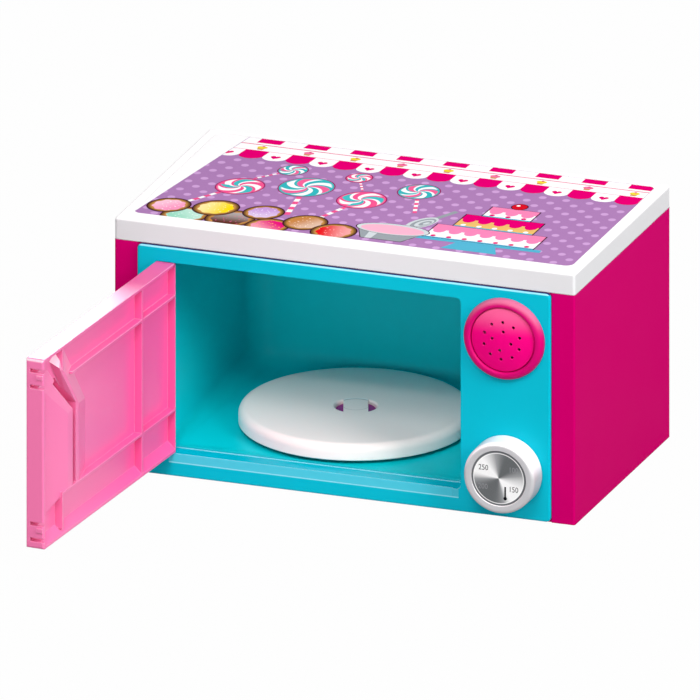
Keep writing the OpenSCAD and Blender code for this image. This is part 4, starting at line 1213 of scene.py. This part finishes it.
@dataclass
class SoundButton:
    """Pink ring and perforated cap."""

    ring_colour: Colour = (208, 0, 110)
    cap_colour: Colour = (236, 0, 124)
    cap_rise: float = 3.0

    def build(self) -> None:
        """Dresses the ring and the cap, with painted highlights on their edges and a painted sheen on their
        skins above the ring's middle.
        """
        low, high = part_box("sound_bezel")
        middle = (low.z + high.z) / 2 / MM
        ring = MouldedPlastic(
            "ring_plastic", self.ring_colour, roughness=0.34, level=0.08, edge=0.8, edge_highlight=0.1, painted_sheen=0.15,
            sheen_full_at=0.7, sheen_from=middle,
        )
        dress(ring, "sound_bezel")
        cap = MouldedPlastic(
            "cap_plastic", self.cap_colour, roughness=0.34, level=0.05, edge=0.5, edge_highlight=0.4, painted_sheen=0.11,
            sheen_full_at=0.03, sheen_from=middle + self.cap_rise,
        )
        dress(cap, "sound_button")


@dataclass
class Knob:
    """White knob with a silver dial, its numbers and a thermometer mark. The print is in millimetres.

    Attributes:
        inks: a strong and a faint one.
        numbers: each number with its place on the dial and the place of its ink.
        figure_h: the figures' height.
        narrow: the share of the figures' width that is kept.
        stem: the thermometer's place across, its top and its foot.
        stem_w: the stem's width.
        bulb_r: the bulb's radius.
        proud: how far the print stands before the dial.
        centre: the dial's centre, in metres.
        face: the depth of the print's plane, in metres.
    """

    inks: tuple[PrintInk, PrintInk] = (
        PrintInk("dial_black", (26, 26, 28), roughness=0.4),
        PrintInk("dial_grey", (136, 138, 142), roughness=0.4),
    )
    numbers: tuple[tuple[str, float, float, int], ...] = (
        ("250", -9.9, 6.0, 0), ("150", 9.7, -6.4, 0), ("100", 9.7, 6.3, 1), ("200", -10.2, -6.3, 1),
    )
    figure_h: float = 3.5
    narrow: float = 0.86
    stem: tuple[float, float, float] = (4.3, -5.0, -12.6)
    stem_w: float = 1.05
    bulb_r: float = 1.15
    proud: float = 0.05
    centre: Vector = field(init=False)
    face: float = field(init=False)

    font_caps: ClassVar[float] = 0.7
    bulb_lift: ClassVar[float] = 0.02

    def build(self) -> None:
        """Dresses the knob and prints its dial."""
        low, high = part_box("knob_dial")
        self.centre = (low + high) / 2
        self.face = low.y - self.proud * MM
        # The white knob is given in grey, and a painted sheen turns its up-facing skin white: painted shade
        # and painted light.
        knob = MouldedPlastic(
            "knob_plastic", (194, 194, 197), roughness=0.26, level=0.2, edge=0.6, edge_highlight=0.0, painted_sheen=1.0,
            sheen_full_at=0.4,
        )
        dress(knob, "knob")
        dress(TurnedDisc("dial_metal", tuple(self.centre)), "knob_dial")
        mesh = bmesh.new()
        for text, x, z, strength in self.numbers:
            self.figure(mesh, text, x, z, strength)
        self.thermometer(mesh)
        settle(mesh, "dial_print", [i.material() for i in self.inks], Body.KNOB)

    def onto_dial(self, x: float, z: float, w: float = 1.0, h: float = 1.0) -> Matrix:
        """The place on the dial of a flat shape drawn in millimetres.

        Args:
            x: right of the dial's centre.
            z: above the dial's centre.
            w: the shape's stretch across.
            h: the shape's stretch upwards.

        Returns:
            The matrix from the drawing's plane to the dial's face.
        """
        at = Matrix.Translation((self.centre.x + x * MM, self.face, self.centre.z + z * MM))
        upright = Matrix.Rotation(math.radians(90), 4, "X")
        return at @ upright @ Matrix.Scale(MM, 4) @ Matrix.Diagonal((w, h, 1, 1))

    def figure(self, mesh: bmesh.types.BMesh, text: str, x: float, z: float, material: int) -> None:
        """Prints one number.

        Args:
            mesh: the print.
            text: the number.
            x: its centre.
            z: its centre.
            material: its material slot.
        """
        curve = bpy.data.curves.new("figure", "FONT")
        curve.body = text
        curve.size = self.figure_h / self.font_caps
        curve.align_x, curve.align_y = "CENTER", "CENTER"
        curve.resolution_u = 3
        holder = bpy.data.objects.new("figure", curve)
        flat = bpy.data.meshes.new_from_object(holder)
        flat.transform(self.onto_dial(x, z, w=self.narrow))
        first = len(mesh.faces)
        mesh.from_mesh(flat)
        mesh.faces.ensure_lookup_table()
        for face in mesh.faces[first:]:
            face.material_index = material
        bpy.data.objects.remove(holder)
        bpy.data.curves.remove(curve)
        bpy.data.meshes.remove(flat)

    def thermometer(self, mesh: bmesh.types.BMesh) -> None:
        """Prints the thermometer mark: a stem and, just before it, a bulb.

        Args:
            mesh: the print.
        """
        x, top, foot = self.stem
        made = bmesh.ops.create_grid(mesh, x_segments=1, y_segments=1, size=0.5)
        matrix = self.onto_dial(x, (top + foot) / 2, self.stem_w, top - foot)
        bmesh.ops.transform(mesh, matrix=matrix, verts=made["verts"])
        made = bmesh.ops.create_circle(mesh, cap_ends=True, segments=24, radius=self.bulb_r)
        lift = Matrix.Translation((0, -self.bulb_lift * MM, 0))
        bmesh.ops.transform(mesh, matrix=lift @ self.onto_dial(x, foot), verts=made["verts"])


@dataclass(frozen=True)
class Lamp:
    """A soft square lamp. Its place, size and aim are in metres, its power is in watts."""

    name: str
    place: Point
    size: float
    power: float
    aim: Point = (0.0, 0.0, 0.08)

    def light(self) -> bpy.types.Light:
        """Makes the light itself.

        Returns:
            The light's data.
        """
        light = bpy.data.lights.new(self.name, "AREA")
        light.shape = "SQUARE"
        light.size = self.size
        return light

    def hang(self) -> None:
        """Hangs the lamp and points it at its aim."""
        light = self.light()
        light.energy = self.power
        lamp = put(self.name, light)
        lamp.location = self.place
        lamp.rotation_euler = (Vector(self.aim) - Vector(self.place)).to_track_quat("-Z", "Y").to_euler()


@dataclass(frozen=True)
class Spotlight(Lamp):
    """A round lamp that fades out towards its cone's edge. Its size is its radius, its cone is in degrees."""

    cone: float = 3.6

    def light(self) -> bpy.types.Light:
        """Makes the light itself.

        Returns:
            The light's data.
        """
        light = bpy.data.lights.new(self.name, "SPOT")
        light.spot_size = math.radians(self.cone)
        light.spot_blend = 1.0
        light.shadow_soft_size = self.size
        return light


@dataclass
class Studio:
    """Camera, lamps, floor and the light all round.

    Attributes:
        azimuth: the camera's direction, in degrees to the right of the front.
        elevation: its height over the horizon, in degrees.
        distance: its distance, in metres.
        pixels_per_mm: the photograph's scale.
        middle: the object's middle, in millimetres.
        right_mm: how far right of it the camera aims.
        up_mm: how far above it the camera aims.
        floor_size: the floor's side, in metres.
        floor_gap: how far the floor lies below the object, in millimetres.
        floor_grey: how pale the floor is to all but the camera and reflections.
        floor_seen: how nearly these two see it white.
        ambient: the strength of the light all round.
        lamps: the lamps.
    """

    azimuth: float = 20.0
    elevation: float = 19.92
    distance: float = 6.0
    pixels_per_mm: float = 1.632695
    middle: Point = (0.0, -0.02, 81.8)
    right_mm: float = -25.87
    up_mm: float = -14.18
    floor_size: float = 14.0
    floor_gap: float = 0.2
    floor_grey: float = 0.36
    floor_seen: float = 0.985
    ambient: float = 0.2
    lamps: tuple[Lamp, ...] = (
        Lamp("key", (0.24, -1.72, 1.94), 1.0, 28.0),
        Lamp("side", (2.0, -0.73, 1.5), 1.2, 54.0),
        Lamp("fill", (0.06, -2.54, 0.44), 0.9, 12.0),
        Lamp("rear", (-0.88, 2.42, 0.96), 1.1, 38.0),
        Spotlight("plate_light", (0.34, -1.95, 1.75), 0.12, 130.0, aim=(-0.03, -0.05, 0.03)),
    )

    def build(self) -> None:
        """Builds the stage, the camera and the lamps."""
        self.camera()
        self.floor()
        self.world()
        for lamp in self.lamps:
            lamp.hang()

    def camera(self) -> None:
        """Places the camera far off, without perspective, as in the photograph."""
        az, el = math.radians(self.azimuth), math.radians(self.elevation)
        away = Vector((math.sin(az) * math.cos(el), -math.cos(az) * math.cos(el), math.sin(el)))
        right = Vector((math.cos(az), math.sin(az), 0))
        up = right.cross(-away).normalized()
        aim = (Vector(self.middle) + right * self.right_mm + up * self.up_mm) * MM
        data = bpy.data.cameras.new("camera")
        data.type = "ORTHO"
        data.ortho_scale = IMAGE_WIDTH / self.pixels_per_mm * MM
        data.clip_end = 100.0
        camera = put("camera", data)
        camera.location = aim + away * self.distance
        camera.rotation_euler = (-away).to_track_quat("-Z", "Y").to_euler()
        bpy.context.scene.camera = camera
        log.info("camera %.2f m away", self.distance)

    def floor(self) -> None:
        """Lays the pale floor, which the camera sees nearly white and which keeps a soft shadow."""
        sheet = NodeSheet("floor_paint")
        path = sheet.add("LightPath").outputs
        shown = sheet.math("MAXIMUM", path["Is Glossy Ray"], path["Is Transmission Ray"])
        share = sheet.times(sheet.math("MAXIMUM", path["Is Camera Ray"], shown), self.floor_seen)
        paint = sheet.add("BsdfDiffuse", Color=(*[self.floor_grey] * 3, 1)).outputs[0]
        white = sheet.add("Emission", Color=(1, 1, 1, 1), Strength=1.0).outputs[0]
        material = sheet.finish(sheet.add("MixShader", i0=share, i1=paint, i2=white))
        mesh = bmesh.new()
        bmesh.ops.create_grid(mesh, x_segments=1, y_segments=1, size=self.floor_size / 2)
        floor = put("floor", mesh_of(mesh, "floor", [material]))
        floor.location.z = -self.floor_gap * MM

    def world(self) -> None:
        """Gives even light from all round and a white background."""
        sheet = NodeSheet("studio", world=True)
        path = sheet.add("LightPath").outputs
        seen = sheet.math("MAXIMUM", path["Is Camera Ray"], path["Is Transmission Ray"])
        dim = sheet.add("Background", Color=(1, 1, 1, 1), Strength=self.ambient).outputs[0]
        full = sheet.add("Background", Color=(1, 1, 1, 1), Strength=1.0).outputs[0]
        bpy.context.scene.world = sheet.finish(sheet.add("MixShader", i0=seen, i1=dim, i2=full))


def main() -> None:
    """Builds the sub-assemblies in order."""
    logging.basicConfig(level=logging.INFO, format="%(name)s: %(message)s")
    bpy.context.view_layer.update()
    bpy.context.scene.view_settings.view_transform = "Standard"
    for part in (Studio(), Shell(), Lid(), Front(), Door(), Turntable(), SoundButton(), Knob()):
        part.build()
        log.info("%s is done", type(part).__name__)


if __name__ == "__main__":
    main()
